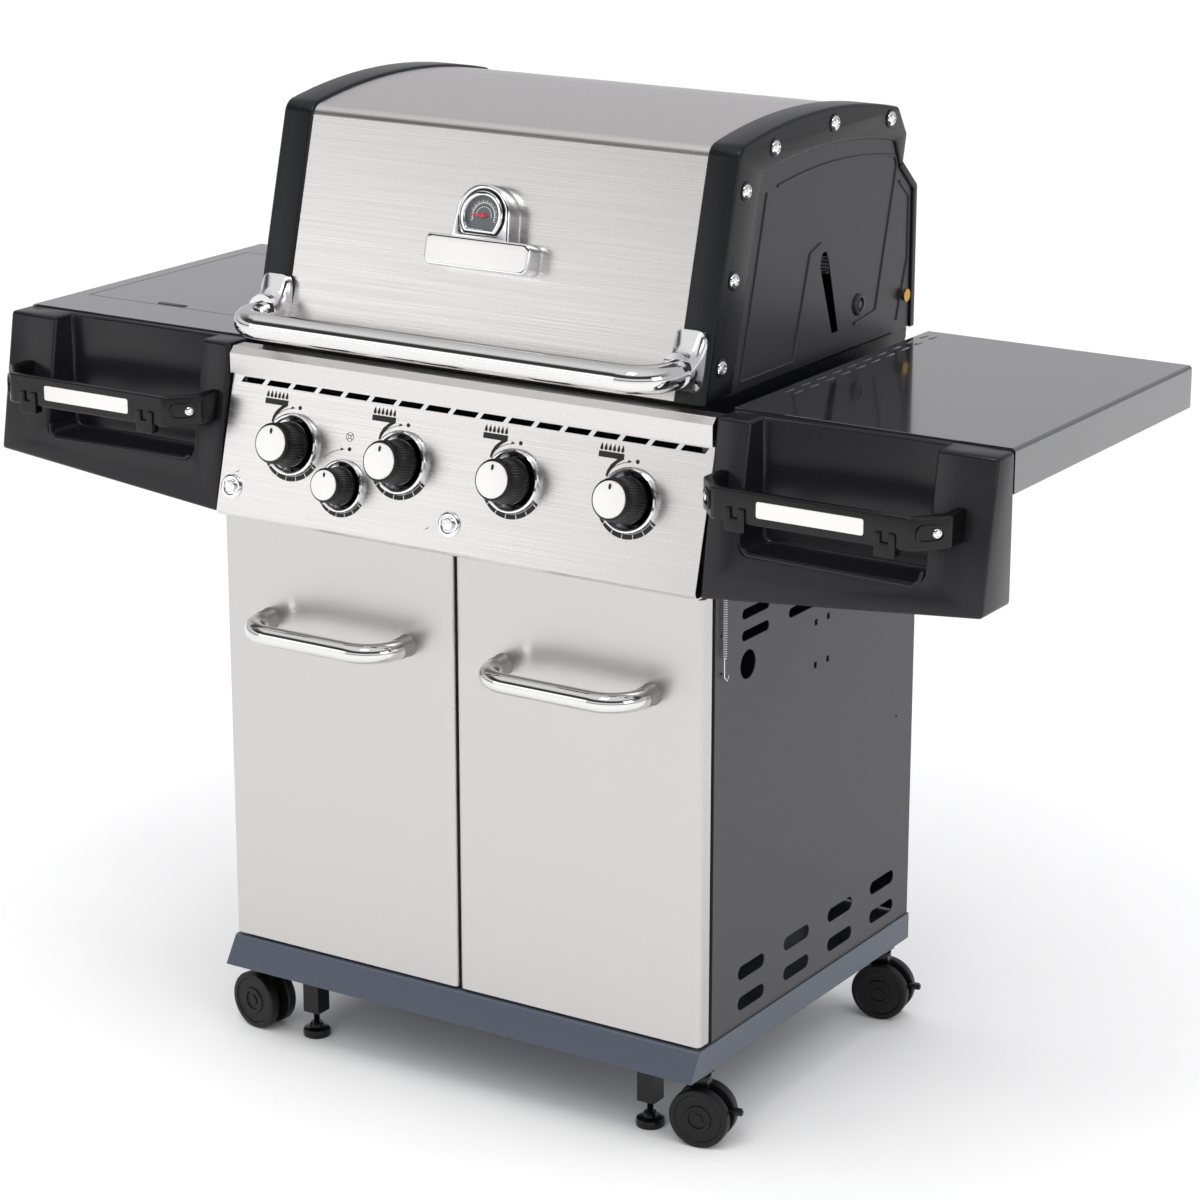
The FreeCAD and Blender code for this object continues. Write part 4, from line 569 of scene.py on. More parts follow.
class GRILL_OT_lid_ends(Maker, bpy.types.Operator):
    """Builds the two cast ends of the lid: rim, recessed face with its ridges, slot and boss"""

    bl_idname = "grill.lid_ends"
    bl_label = "Lid Ends"

    def execute(self, context):
        sizes = context.scene.grill_sizes
        low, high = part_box("lid_end_right")
        foot = [(-200, 919.5), (-123.5, 1207.5, 20)]
        rim = foot + bowed((-123.5, 1207.5), (261, 1204), 900) + [
            (261, 1204, 8), (284, 1168, 5), (276, 1133), (267, 1128, 5), (252, 1163, 8)]
        rim += bowed((-73, 1168), (252, 1163), 850)[::-1] + [(-73, 1168, 6), (-139, 919.5)]
        lobe = [(275, 1134), (314, 1100, 8), (314, 919.5), (304, 919.5), (304, 1096, 5), (266, 1129)]
        face = [(-142, 920.5), (-76, 1170)] + bowed((-76, 1170), (254, 1165), 850) + [
            (254, 1165), (270, 1129), (306, 1098), (306, 920.5)]
        slot = mm((104, 948), (120, 948), (95, 1036, 4), (88, 1052, 3), (78, 1052, 3), (72, 1036, 4))
        casting = joined(plate(mm(*rim), low.x, high.x, sizes.casting_round, matrix=SIDE_ON),
                         plate(mm(*lobe), high.x - 4 * MM, high.x, 1.5 * MM, matrix=SIDE_ON))
        level = high.x - 3.2 * MM
        sheet = plate(mm(*face), high.x - 4.6 * MM, level, 0.0, [slot], SIDE_ON)
        crown = bowed((-56, 1146), (256, 1144), 880)
        lines = [crown + [(256, 1144, 6), (262, 1132, 4), (214, 957, 6), (160, 950)],
                 [(-116, 931), (8, 931, 5), (47, 1056, 5), (72, 1064)],
                 [(-116, 931), (-58, 1146)],
                 [(270, 934), (296, 1010), (296, 1088, 6), (270, 1110)]]
        ridges = []
        for line in lines:
            ridges.append(tube([Vector((*p, 0)) for p in mm(*line)], sizes.ridge,
                               SIDE_ON @ Matrix.Translation((0, 0, level))))
        hub = Matrix.Translation((171 * MM, 972 * MM, level))
        boss = lathe([(0.5, -1), (14, -1), (14, 1.5), (12, 3), (9, 3), (8, 0.5), (5.5, 0.5), (5, 2),
                      (0.5, 2.6)], SIDE_ON @ hub)
        pair("lid_casting_", casting, "powder_coated_casting", "lid", "black_casting", "lid_end_")
        pair("lid_end_face_", joined(sheet, *ridges, boss), "charcoal_end_face", "lid", "black_casting")
        return {"FINISHED"}


class GRILL_OT_lid_bolts(Maker, bpy.types.Operator):
    """Builds the six domed bolts on each end of the lid, three up the front and three under the crown"""

    bl_idname = "grill.lid_bolts"
    bl_label = "Lid Bolts"

    # each bolt's depth and height in millimetres
    spots = ((-165, 957.5), (-139, 1055.5), (-112.5, 1155.5), (-46.5, 1197), (95.5, 1206.5),
             (238, 1192.5))

    def execute(self, context):
        radius = context.scene.grill_sizes.bolt / MM
        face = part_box("lid_end_right")[1].x
        heads, washers = [], []
        for depth, up in self.spots:
            seat = SIDE_ON @ Matrix.Translation((depth * MM, up * MM, face))
            heads.append(lathe([(radius * 0.9, 0), (radius * 0.9, 1.6), (radius * 0.82, 3.2),
                                (radius * 0.6, 4.4), (radius * 0.5, 4.6), (radius * 0.42, 3.4),
                                (0.4, 3.4)], seat))
            washers.append(lathe([(radius * 1.15, -0.5), (radius * 1.15, 0.9), (radius, 1.3),
                                  (radius * 0.4, 1.3)], seat))
        pair("lid_bolt_heads_", joined(*heads), "chrome_plate", "lid", "chrome_plate", "lid_bolts")
        pair("lid_bolt_seats_", joined(*washers), "powder_coated_casting", "lid", "black_casting")
        return {"FINISHED"}


class GRILL_OT_handle_sockets(Maker, bpy.types.Operator):
    """Builds the cast chrome sockets that hold the lid's handle bar"""

    bl_idname = "grill.handle_sockets"
    bl_label = "Handle Sockets"

    # the socket's sections from the lid out: half width, half height, how square, how far out, and
    # how far up in millimetres; the last closes on the bar
    sections = ((0.0215, 0.036, 5.0, -0.004, 9), (0.0215, 0.036, 5.0, 0.003, 9),
                (0.020, 0.034, 4.5, 0.006, 8), (0.0195, 0.025, 3.0, 0.011, 3),
                (0.020, 0.0205, 2.2, 0.019, 0), (0.0215, 0.0215, 2.0, 0.027, -1),
                (0.0208, 0.0208, 2.0, 0.0295, -1))

    def execute(self, context):
        low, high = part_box("lid_handle_bar")
        bar_radius = (high.z - low.z) / 2
        height = (low.z + high.z) / 2
        side_x = high.x - bar_radius
        lean = face_on("needle_spindle")
        foot = Vector((side_x, *JOINTS["needle_spindle"]["pos_m"][1:]))
        down = lean.to_3x3() @ Vector((0, 1, 0))
        face = foot + down * ((height - foot.z) / down.z) + lean.to_3x3() @ Vector((0, 0, 1)) * 3 * MM
        rows = []
        for half_wide, half_high, power, out, rise in (*self.sections,
                                                       (bar_radius, bar_radius, 2.0, 0.0295, -1)):
            row = []
            for point in ring(1.0):
                scale = (abs(point.x) ** power + abs(point.y) ** power) ** (-1 / power)
                row.append((half_wide * point.x * scale, half_high * point.y * scale + rise * MM, out))
            rows.append(row)
        socket = loft(rows, axes(face, (1, 0, 0), (0, 0.14, 1)))
        pair("handle_socket_", socket, "chrome_plate", "lid", "chrome_plate", "handle_sockets")
        return {"FINISHED"}


class GRILL_OT_gauge(Maker, bpy.types.Operator):
    """Builds the thermometer: chrome arch and blank plate, dial with its scale, and the needle"""

    bl_idname = "grill.gauge"
    bl_label = "Gauge"

    def execute(self, context):
        where, deep = face_on("needle_spindle"), 26 * MM
        arch = ring(38 * MM, 30, 0, 180) + mm((-41, -26), (-45, -38), (45, -38), (41, -26))
        gap = ring(32 * MM, 40, -43, 223)
        housing = plate(arch, 0, deep - 2 * MM, 2.5 * MM, [gap], where)
        lining = plate(ring(33 * MM, 40, -44, 224), 1 * MM, deep - 8 * MM, 0, matrix=where)
        bezel = plate(ring(29.5 * MM, 40, -43, 223), 2 * MM, deep, 1.5 * MM,
                      [ring(24 * MM, 40, -43, 223)], where)
        dial = plate(ring(26 * MM, 40, -44, 224), deep - 9 * MM, deep - 6 * MM, 0, matrix=where)
        ink = (deep - 6 * MM, deep - 5.8 * MM)
        lines = [plate(band(15.2 * MM, 15.9 * MM, -20, 200), *ink, matrix=where),
                 plate(band(10.6 * MM, 11.0 * MM, -10, 190), *ink, matrix=where)]
        for i in range(23):
            long = 2.6 if i % 2 == 0 else 1.4
            lines.append(plate(block((16.4, -0.3), (16.4 + long, 0.3)), *ink,
                               matrix=where @ spin(200 - 10 * i)))
        nameplate = plate(mm((-75, -65, 9), (68, -65, 12), (75, -58, 6), (75, -27, 9), (-75, -27, 8)),
                          0, deep, 2.5 * MM, matrix=where)
        inset = plate(mm((-71, -61.5, 6), (66, -61.5, 8), (71, -56, 4), (71, -30.5, 7), (-71, -30.5, 6)),
                      deep - 1 * MM, deep + 0.5 * MM, 0.4 * MM, matrix=where)
        hand = plate(mm((-17, -0.35), (-17, 0.35), (-2.5, 1.3, 1), (6, 1.1, 1), (6, -1.1, 1),
                        (-2.5, -1.3, 1)), deep - 4 * MM, deep - 3.4 * MM, matrix=where)
        hub = lathe([(2.6, 21), (2.6, 23), (1.8, 23.8), (0.4, 24)], where)
        piece("gauge_housing", housing, "chrome_plate", "lid", "chrome_plate", "gauge_bezel")
        piece("gauge_gap", lining, "powder_coated_casting", "lid", "black_casting")
        piece("gauge_ring", bezel, "chrome_plate", "lid", "chrome_plate")
        piece("gauge_dial", dial, "dial_face", "lid", "aluminium")
        piece("gauge_scale", joined(*lines), "white_ink", "lid", "aluminium")
        piece("gauge_nameplate", nameplate, "chrome_plate", "lid", "chrome_plate")
        piece("gauge_plate_inset", inset, "satin_plate", "lid", "aluminium")
        piece("needle_hand", joined(hand, hub), "needle_lacquer", "needle", "needle_red", "gauge_needle")
        return {"FINISHED"}


class GRILL_OT_knobs(Maker, bpy.types.Operator):
    """Builds each knob: ribbed grip, satin cap with its mark, chrome bezel and printed heat scale"""

    bl_idname = "grill.knobs"
    bl_label = "Knobs"

    def execute(self, context):
        sizes = context.scene.grill_sizes
        for number in KNOBS:
            share = sizes.small_share if number == "side" else 1.0
            seat = face_on(f"knob_{number}_turn") @ Matrix.Diagonal((share, share, share, 1))
            body = f"knob_{number}"
            grip = lathe([(10, 5), (26, 5), (27.6, 5.8), (28.3, 8), (28.3, 12), (26.2, 14, 1),
                          (25.6, 30, 1), (25, 43, 1), (24, 45.2), (22.4, 45.8), (10, 45.8)],
                         seat, sizes.ribs * 6, sizes.ribs, 0.45 * MM)
            cap = lathe([(10, 45.4), (22, 45.4), (22, 46.3), (21.4, 47.2), (14, 47.9), (0.5, 48.1)], seat)
            oval = [Vector((1.9 * p.x, 15 + 3.6 * p.y)) * MM for p in ring(1.0, 20)]
            mark = plate(oval, 47.4 * MM, 48.3 * MM, matrix=seat)
            edge = sizes.bezel / MM
            collar = lathe([(30, 0.1), (edge, 0.1), (edge, 4.6), (edge - 0.8, 6.6), (edge - 2.6, 7.6),
                            (edge - 4.4, 6.8), (edge - 5.4, 3), (30, 1.2)], seat)
            inner, outer = sizes.bezel + 0.4 * MM, sizes.bezel + sizes.scale_band
            scale = plate(band(inner, outer, 196, 330), 0.05 * MM, 0.3 * MM, matrix=seat)
            ticks = []
            for turn in range(205, 330, 20):
                stroke = block((inner / MM + 0.8, -0.45), (outer / MM, 0.45))
                ticks.append(plate(stroke, 0.3 * MM, 0.45 * MM, matrix=seat @ spin(turn)))
            piece(f"knob_grip_{number}", grip, "black_nylon", body, "black_nylon", body, sharp=50)
            piece(f"knob_cap_{number}", cap, "satin_plate", body, "aluminium")
            piece(f"knob_mark_{number}", mark, "printed_ink", body, "black_nylon")
            piece(f"knob_bezel_{number}", collar, "chrome_plate", "cart", "chrome_plate")
            piece(f"heat_scale_{number}", scale, "printed_ink", "cart", "black_nylon")
            piece(f"heat_ticks_{number}", joined(*ticks), "white_ink", "cart", "aluminium")
        return {"FINISHED"}


class GRILL_OT_panel_print(Maker, bpy.types.Operator):
    """Prints the flame rows, arrows and spark marks on the control panel"""

    bl_idname = "grill.panel_print"
    bl_label = "Panel Print"

    # from just off the panel to the top of the ink
    high = (0.05 * MM, 0.25 * MM)

    def stamp(self, outline, matrix):
        """One printed shape."""
        return plate(outline, *self.high, matrix=matrix)

    def arrow(self, matrix):
        """The curved arrow and the dot that show where a knob is off."""
        line = band(44.4 * MM, 45.1 * MM, 96, 136)
        head = mm((-9, 42.8), (-9, 46.6), (-3.2, 45))
        dot = [p + Vector((4, 46)) * MM for p in ring(2.6 * MM, 20)]
        return [self.stamp(shape, matrix) for shape in (line, head, dot)]

    def flames(self, matrix):
        """A row of six flames over a plain bar, with the leader that ties it to the bezel."""
        shapes = [block((-50, 45.5), (-15, 52.5))]
        for i in range(6):
            x = -47 + 5.8 * i
            shapes.append(mm((x - 2.2, 55, 1), (x, 53.4), (x + 2.2, 55, 1), (x + 1.8, 57.4),
                             (x + 0.3, 62.5), (x - 1.7, 58)))
        shapes.append(mm((-15, 46), (-21.5, 41.8), (-27.5, 36), (-32, 29.5), (-34.5, 23), (-37, 24.5),
                         (-35.5, 31.5), (-31.5, 38.5), (-26, 43.5), (-23, 46)))
        return [self.stamp(shape, matrix) for shape in shapes]

    def burner(self, matrix):
        """The ring with four spokes that stands for the side burner."""
        at = matrix @ shift(2.3, 61, 0)
        made = [plate(ring(5.6 * MM, 32), *self.high, 0, [ring(5 * MM, 32)], at),
                plate(ring(2.2 * MM, 24), *self.high, 0, [ring(1.6 * MM, 24)], at)]
        for turn in range(45, 360, 90):
            made.append(self.stamp(block((2.2, -0.35), (5.1, 0.35)), at @ spin(turn)))
        return made

    def spark(self, matrix, x, y):
        """A small spark beside a button."""
        bolt = mm((-3.5, -2.5), (0.4, 0.2), (0, -0.8), (3.5, 2.5), (-0.4, 0.2), (0, 1))
        return [self.stamp(bolt, matrix @ shift(x, y, 0))]

    def execute(self, context):
        made = []
        for number in KNOBS:
            seat = face_on(f"knob_{number}_turn")
            made += self.arrow(seat) + (self.burner(seat) if number == "side" else self.flames(seat))
        made += self.spark(button_on("igniter"), -31, -9) + self.spark(button_on("side_igniter"), 6, 20)
        piece("panel_print", joined(*made), "printed_ink", "cart", "black_nylon")
        return {"FINISHED"}


class GRILL_OT_buttons(Maker, bpy.types.Operator):
    """Builds the two igniter buttons and their chrome collars"""

    bl_idname = "grill.buttons"
    bl_label = "Buttons"

    def execute(self, context):
        for name in ("igniter", "side_igniter"):
            seat = button_on(name)
            head = lathe([(7, -6), (8, -5.6), (8, 4), (7.6, 4.8), (6.8, 5), (6.2, 4.2), (3, 4), (2.6, 4.6),
                          (0.4, 4.6)], seat)
            collar = lathe([(8.8, 0.1), (15.5, 0.1), (15.5, 1.6), (14.6, 2.6), (12.6, 3), (9.8, 2.8),
                            (8.8, 2)], seat)
            piece(name + "_head", head, "chrome_plate", name, "chrome_plate", name + "_button")
            piece(name + "_collar", collar, "chrome_plate", "cart", "chrome_plate")
        return {"FINISHED"}


class GRILL_OT_door_ferrules(Maker, bpy.types.Operator):
    """Adds the dull collars where each door handle meets its door"""

    bl_idname = "grill.door_ferrules"
    bl_label = "Door Ferrules"

    def execute(self, context):
        for name, side in SIDES:
            low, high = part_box("door_handle_" + name)
            radius = (high.z - low.z) / 2
            made = []
            for x in (low.x + radius, high.x - radius):
                seat = axes((x, high.y, low.z + radius), (1, 0, 0), (0, 0, 1))
                wide = radius / MM
                made.append(lathe([(wide - 1, 0), (wide + 1.6, 0), (wide + 1.6, 2.5), (wide + 0.7, 4),
                                   (wide + 0.5, 20), (wide, 21), (wide - 1, 21)], seat))
            piece("door_ferrules_" + name, joined(*made), "cast_aluminium", "door_" + name, "aluminium")
        return {"FINISHED"}


class GRILL_OT_end_caps(Maker, bpy.types.Operator):
    """Builds the moulded end caps of the shelves, each with its rounded niche and ledge"""

    bl_idname = "grill.end_caps"
    bl_label = "End Caps"

    def execute(self, context):
        sizes = context.scene.grill_sizes
        low, high = (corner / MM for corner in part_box("end_cap_right"))
        # the front edge at the top, and how much higher the cap's outer side starts than its inner
        head, rise = -216, 32
        lean = (head - low.y) / (high.z - low.z)
        front = [(low.x, low.y, low.z), (high.x, low.y + rise * lean, low.z + rise),
                 (high.x, head, high.z), (low.x, head, high.z)]
        rows = [[Vector(p) * MM for p in front],
                [Vector((x, high.y, z)) * MM for x, _, z in front]]
        niche = plate(block((397, 766), (634, 990), 14), 185 * MM, 320 * MM, 0, matrix=FRONT_ON)
        shell = softened(carved(loft(rows), niche), sizes.cap_round)
        ledge = ((402, -239, 770), (410, -241, 765), (620, -241, 762), (629, -240, 768), (632, -238, 780))
        lip = tube([Vector(p) * MM for p in ledge], 3 * MM)
        pair("end_cap_shell_", joined(shell, lip), "moulded_resin", "cart", "moulded_resin", "end_cap_")
        return {"FINISHED"}


class GRILL_OT_tool_rails(Maker, bpy.types.Operator):
    """Builds the bow-shaped tool rails with their clips, satin plate, slots and screws"""

    bl_idname = "grill.tool_rails"
    bl_label = "Tool Rails"

    def execute(self, context):
        low, high = (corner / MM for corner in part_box("tool_rails"))
        inner, outer = 362, high.x
        face = low.y + 3
        bow = mm((inner, -224), (inner, -262, 8), (inner + 32, face, 14), (outer - 32, face, 14),
                 (outer, -262, 8), (outer, -224), (outer - 13, -224), (outer - 13, -257, 6),
                 (outer - 38, face + 11, 10), (inner + 38, face + 11, 10), (inner + 13, -257, 6),
                 (inner + 13, -224))
        bar = plate(bow, low.z * MM, high.z * MM, 2.5 * MM)
        middle = (inner + outer) / 2
        long = context.scene.grill_sizes.plate_long / MM / 2
        made, screws = [bar], []
        for x in (middle - long - 27, middle + long + 27):
            clip = mm((x - 13, 808, 3), (x + 13, 808, 3), (x + 13, 836, 3), (x + 5, 836), (x + 5, 824, 2),
                      (x - 5, 824, 2), (x - 5, 836), (x - 13, 836, 3))
            made.append(plate(clip, -face * MM - 11 * MM, -low.y * MM, 1.2 * MM, matrix=FRONT_ON))
        for at, lean in ((inner + 16, -50), (outer - 16, 50)):
            slot = shift(at, -280, 837) @ spin(lean) @ FRONT_ON
            made.append(plate(block((-18, -11), (18, 11), 10), -2 * MM, 1.8 * MM, 0.8 * MM,
                              [block((-14.5, -7.5), (14.5, 7.5), 7)], slot))
            screws.append(lathe([(5.6, -1), (5.6, 0.8), (4.6, 2.0), (3, 2.5), (2.4, 1.4), (0.4, 1.4)],
                                slot @ shift(math.copysign(8, lean), 0, 0)))
        badge = plate(block((middle - long, 828), (middle + long, 847), 3), -face * MM - 1 * MM,
                      -face * MM + 0.8 * MM, 0.4 * MM, matrix=FRONT_ON)
        pair("tool_rail_", joined(*made), "black_nylon", "cart", "black_nylon", "tool_rails")
        pair("rail_plate_", badge, "satin_plate", "cart", "aluminium")
        pair("rail_screws_", joined(*screws), "chrome_plate", "cart", "chrome_plate")
        return {"FINISHED"}


class GRILL_OT_shelf_details(Maker, bpy.types.Operator):
    """Adds the louvres of the right shelf, and a black plate as painted shade for the side burner cover's
    finger notch
    """

    bl_idname = "grill.shelf_details"
    bl_label = "Shelf Details"

    def execute(self, context):
        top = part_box("shelf_right")[1].z
        louvres = []
        for row in (0, 1):
            for i in range(10):
                middle = Matrix.Translation(((363 + 12 * row) * MM, (-68 + 38 * i) * MM, top))
                louvres.append(lathe([(0.5, -0.4), (2.8, -0.4), (2.5, 0.5), (1.2, 1.1), (0.3, 1.2)],
                                     middle @ Matrix.Diagonal((1, 4.4, 1, 1)), 24))
        piece("shelf_louvres", joined(*louvres), "vitreous_enamel", "cart", "dark_enamel_steel")
        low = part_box("side_burner_lid")[0]
        # the finger notch is not cut: a thin black plate on the cover paints the shade inside it
        notch = plate(block((-23, -5), (23, 5), 4.5), 0, 0.6 * MM, 0.2 * MM,
                      matrix=Matrix.Translation((-551 * MM, low.y + 9 * MM, top)))
        piece("cover_notch", notch, "black_nylon", "side_cover", "dark_enamel_steel")
        return {"FINISHED"}


class GRILL_OT_match_holder(Maker, bpy.types.Operator):
    """Builds the coiled wire match holder on the right side panel"""

    bl_idname = "grill.match_holder"
    bl_label = "Match Holder"

    def execute(self, context):
        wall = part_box("side_panel_right")[1].x
        axis, depth, wide, top, long = wall / MM + 4, -196, 2.6, 694, 74
        coil = []
        turns, steps = 26, 10
        for i in range(turns * steps + 1):
            turn = math.tau * i / steps
            coil.append(Vector((axis + wide * math.cos(turn), depth + wide * math.sin(turn),
                                top - long * i / (turns * steps))) * MM)
        hook = [Vector(p) * MM for p in ((axis - 5, depth, 618), (axis, depth, 618), (axis, depth, 596),
                                         (axis, -190, 590), (axis, -186, 596))]
        piece("match_holder", joined(tube(coil, 0.7 * MM), tube(hook, 0.8 * MM)), "polished_tube", "cart",
              "chrome_wire")
        return {"FINISHED"}


class GRILL_OT_casters(Maker, bpy.types.Operator):
    """Builds the twin-wheel casters with their hoods and brake tabs"""

    bl_idname = "grill.casters"
    bl_label = "Casters"

    # the hub against the post: behind it, and up from the floor
    hub_at = (6 * MM, 0, 38 * MM)

    def execute(self, context):
        for corner in CORNERS:
            base = caster_frame(corner)
            hub = base @ Matrix.Translation(self.hub_at) @ Matrix.Rotation(math.pi / 2, 4, "X")
            wheels = []
            for way in (-1, 1):
                face = hub @ Matrix.Rotation(math.pi if way < 0 else 0.0, 4, "X")
                wheels.append(lathe([(4.1, 8), (36.5, 8), (38, 9.6), (38, 19), (36.8, 21.2), (34, 22),
                                     (31, 22), (29.5, 20.2), (17.5, 20.2), (16.5, 22), (12.5, 22),
                                     (11.5, 20), (6.5, 20), (6, 21.4), (0.5, 21.8)], face))
            axle = lathe([(4, -18), (4, 18)], hub, 24)
            hood = loft([[hub @ Vector((x, y, z)) for x, y in self.hood_side()] for z in
                         (-0.0075, -0.0068, 0.0068, 0.0075)])
            post = lathe([(15, 84), (15, 88.6), (13, 90), (5.5, 90), (5.5, 126)], base, 32)
            tab = plate(mm((24, -4.4), (48, -4.4), (57, -3.6, 2), (57, 3.6, 2), (48, 4.4), (24, 4.4)),
                        43 * MM, 49 * MM, 1.2 * MM, matrix=base)
            ridge = plate(block((45, -4), (55, 4)), 49 * MM, 50.4 * MM, 0.5 * MM, matrix=base)
            piece("caster_wheels_" + corner, joined(*wheels, axle), "caster_nylon", "wheels_" + corner,
                  "caster_rubber", "wheels_" + corner)
            piece("caster_hood_" + corner, joined(hood, post), "black_nylon", "caster_" + corner,
                  "caster_nylon", "caster_" + corner)
            piece("caster_brake_" + corner, joined(tab, ridge), "black_nylon", "brake_" + corner,
                  "caster_nylon", "brake_" + corner)
        return {"FINISHED"}

    @staticmethod
    def hood_side():
        """The hood's side view about the hub: a round back under a neck that rises to the collar."""
        points = mm((-17, 20), (-17, 48, 3), (7, 48, 3), (9, 27, 6))
        return points + ring(29 * MM, 26, 62, -142)


class GRILL_OT_feet(Maker, bpy.types.Operator):
    """Builds the levelling feet: a domed pad, a nut and a threaded post"""

    bl_idname = "grill.feet"
    bl_label = "Feet"

    def execute(self, context):
        for name, side in SIDES:
            low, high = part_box("foot_" + name)
            base = Matrix.Translation(((low.x + high.x) / 2, (low.y + high.y) / 2, 0))
            pad = [(1, 0), (17.4, 0), (18, 0.8), (18, 7), (17, 10), (14, 11.6), (9.5, 12.4), (8.4, 17),
                   (7.4, 18), (4, 18)]
            thread = []
            pitch = 1.1
            for i in range(15):
                thread += [(4, 18 + i * pitch), (3.4, 18 + (i + 0.5) * pitch)]
            piece("foot_pad_" + name, lathe(pad + thread + [(4, 74)], base), "black_nylon", "foot_" + name,
                  "caster_nylon", "foot_" + name)
        return {"FINISHED"}


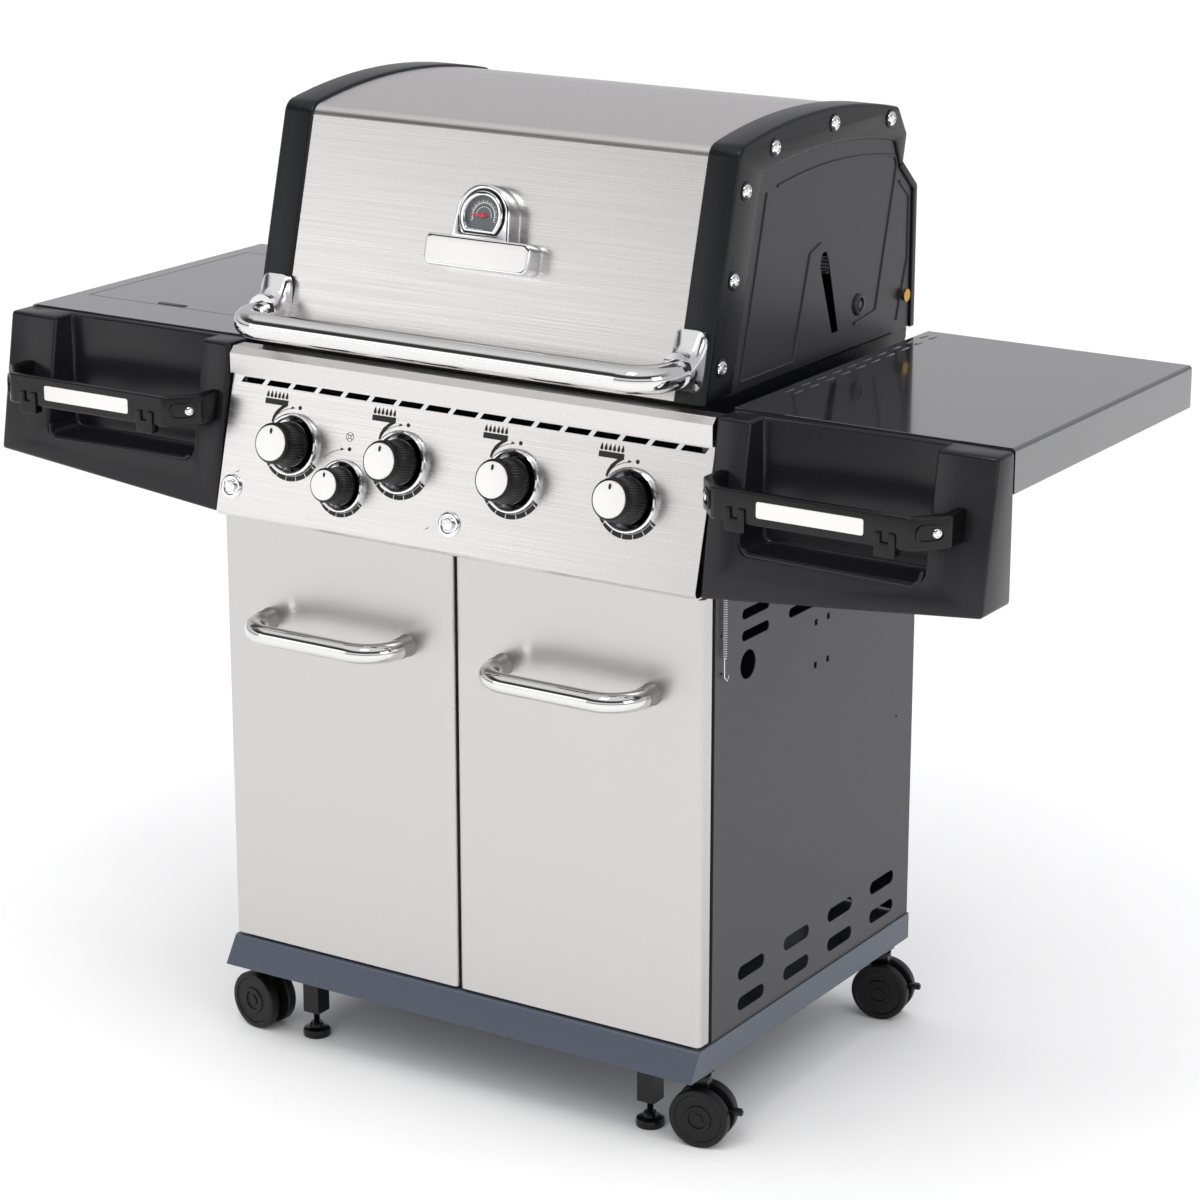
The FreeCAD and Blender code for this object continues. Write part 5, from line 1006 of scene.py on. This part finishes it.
class GRILL_OT_stage(Maker, bpy.types.Operator):
    """Sets the floor, the soft lights, the surroundings and the camera"""

    bl_idname = "grill.stage"
    bl_label = "Stage"

    # how bright the front is, by the sine of the height
    front_tones = ((-0.02, 0.6), (0.01, 0.12), (0.07, 0.12), (0.12, 0.86), (0.3, 0.84), (0.36, 0.05),
                   (0.62, 0.05), (0.72, 0.85))

    # each light's name, place, aim, size and power, and whether a polished face mirrors it
    lights = (
        ("front", (-3.4, -4.4, 1.5), (0, -0.2, 0.75), 2.2, 13, True),
        ("right", (4.8, -1.6, 2.4), (0.2, 0, 0.6), 2.0, 22, True),
        ("strip", (0.3, -1.7, 3.4), (0.2, -0.2, 0.9), 0.7, 14, True),
        ("fill", (0.5, -4.5, 3.4), (0, -0.2, 0.6), 3.0, 40, False),
    )

    # the greyer tone of the back, and the even light from above: power, spread and lean in degrees
    back_tone = (0.58, 0.58, 0.6, 1)
    ceiling = (2.1, 100, (12, 8, 0))

    def execute(self, context):
        stage = context.scene.grill_stage
        back = Vector((math.sin(stage.azimuth) * math.cos(stage.elevation),
                       -math.cos(stage.azimuth) * math.cos(stage.elevation), math.sin(stage.elevation)))
        lens = bpy.data.cameras.new("camera")
        lens.lens, lens.sensor_width = stage.lens, 36.0
        context.scene.camera = self.aimed(placed("camera", lens), stage.place, -back)
        self.floor()
        self.surroundings(context)
        for name, place, aim, size, power, mirrored in self.lights:
            lamp = bpy.data.lights.new(name, "AREA")
            lamp.shape, lamp.size, lamp.energy = "SQUARE", size, power
            holder = placed("light_" + name, lamp)
            holder.visible_glossy = mirrored
            self.aimed(holder, place, Vector(aim) - Vector(place))
        context.scene.view_settings.view_transform = "Standard"
        return {"FINISHED"}

    @staticmethod
    def aimed(holder, place, way):
        """A camera or a light put in its place, looking along a way."""
        holder.location = place
        holder.rotation_mode = "QUATERNION"
        holder.rotation_quaternion = way.to_track_quat("-Z", "Y")
        return holder

    @staticmethod
    def floor():
        """A wide plain floor."""
        half = 30.0
        mesh = bpy.data.meshes.new("floor")
        mesh.from_pydata([(-half, -half, 0), (half, -half, 0), (half, half, 0), (-half, half, 0)], [],
                         [(0, 1, 2, 3)])
        holder = placed("floor", mesh)
        tone = bpy.context.scene.grill_stage.floor
        mesh.materials.append(surface("studio_floor", tone, shaded(tone, 0.99), (0.6, 0.7),
                                      (60, 60, 60), 0.0, {}))

    def surroundings(self, context):
        """A bright front with a dark gap under the ceiling, and a greyer back."""
        world = bpy.data.worlds.new("studio")
        context.scene.world = world
        world.use_nodes = True
        tree = world.node_tree
        way = add(tree, "ShaderNodeTexCoord").outputs["Generated"]
        split = add(tree, "ShaderNodeSeparateXYZ", {0: way})
        depth = add(tree, "ShaderNodeMapRange", {"Value": split.outputs["Y"], 1: -0.25, 2: 0.45})
        height = add(tree, "ShaderNodeMapRange", {"Value": split.outputs["Z"], 1: -1.0, 2: 1.0})
        front = add(tree, "ShaderNodeValToRGB", {0: height.outputs[0]})
        while len(front.color_ramp.elements) < len(self.front_tones):
            front.color_ramp.elements.new(0.5)
        for stop, (up, tone) in zip(front.color_ramp.elements, self.front_tones):
            stop.position = (up + 1) / 2
            stop.color = (tone, tone, tone * 1.01, 1)
        tone = add(tree, "ShaderNodeMix", {0: depth.outputs[0], 6: front.outputs[0], 7: self.back_tone},
                   data_type="RGBA")
        tree.links.new(tone.outputs[2], tree.nodes["Background"].inputs["Color"])
        tree.nodes["Background"].inputs["Strength"].default_value = 1.0
        power, spread, lean = self.ceiling
        sun = bpy.data.lights.new("ceiling", "SUN")
        sun.energy, sun.angle = power, math.radians(spread)
        holder = placed("light_ceiling", sun)
        holder.rotation_euler = [math.radians(turn) for turn in lean]
        holder.visible_glossy = False


OPERATORS = (GRILL_OT_frame_finishes, GRILL_OT_lid_ends, GRILL_OT_lid_bolts, GRILL_OT_handle_sockets,
             GRILL_OT_gauge, GRILL_OT_knobs, GRILL_OT_panel_print, GRILL_OT_buttons,
             GRILL_OT_door_ferrules, GRILL_OT_end_caps, GRILL_OT_tool_rails, GRILL_OT_shelf_details,
             GRILL_OT_match_holder, GRILL_OT_casters, GRILL_OT_feet, GRILL_OT_stage)


class GRILL_PT_sidebar(bpy.types.Panel):
    """Lists the grill's operators, colours and sizes"""

    bl_idname = "GRILL_PT_sidebar"
    bl_label = "Gas Grill"
    bl_space_type = "VIEW_3D"
    bl_region_type = "UI"
    bl_category = "Grill"

    def draw(self, context):
        for operator in OPERATORS:
            self.layout.operator(operator.bl_idname)
        for group in (context.scene.grill_colours, context.scene.grill_sizes, context.scene.grill_stage):
            box = self.layout.box()
            for key in type(group).__annotations__:
                box.prop(group, key)


CLASSES = (GrillColours, GrillSizes, GrillStage, *OPERATORS, GRILL_PT_sidebar)


def register():
    """Adds the classes and the scene's settings."""
    for each in CLASSES:
        bpy.utils.register_class(each)
    bpy.types.Scene.grill_colours = PointerProperty(type=GrillColours)
    bpy.types.Scene.grill_sizes = PointerProperty(type=GrillSizes)
    bpy.types.Scene.grill_stage = PointerProperty(type=GrillStage)


def unregister():
    """Takes the settings and the classes away again."""
    del bpy.types.Scene.grill_stage, bpy.types.Scene.grill_sizes, bpy.types.Scene.grill_colours
    for each in reversed(CLASSES):
        bpy.utils.unregister_class(each)


def main():
    """Builds every piece in order."""
    register()
    for operator in OPERATORS:
        getattr(bpy.ops.grill, operator.bl_idname.split(".")[1])()


if __name__ == "__main__":
    main()
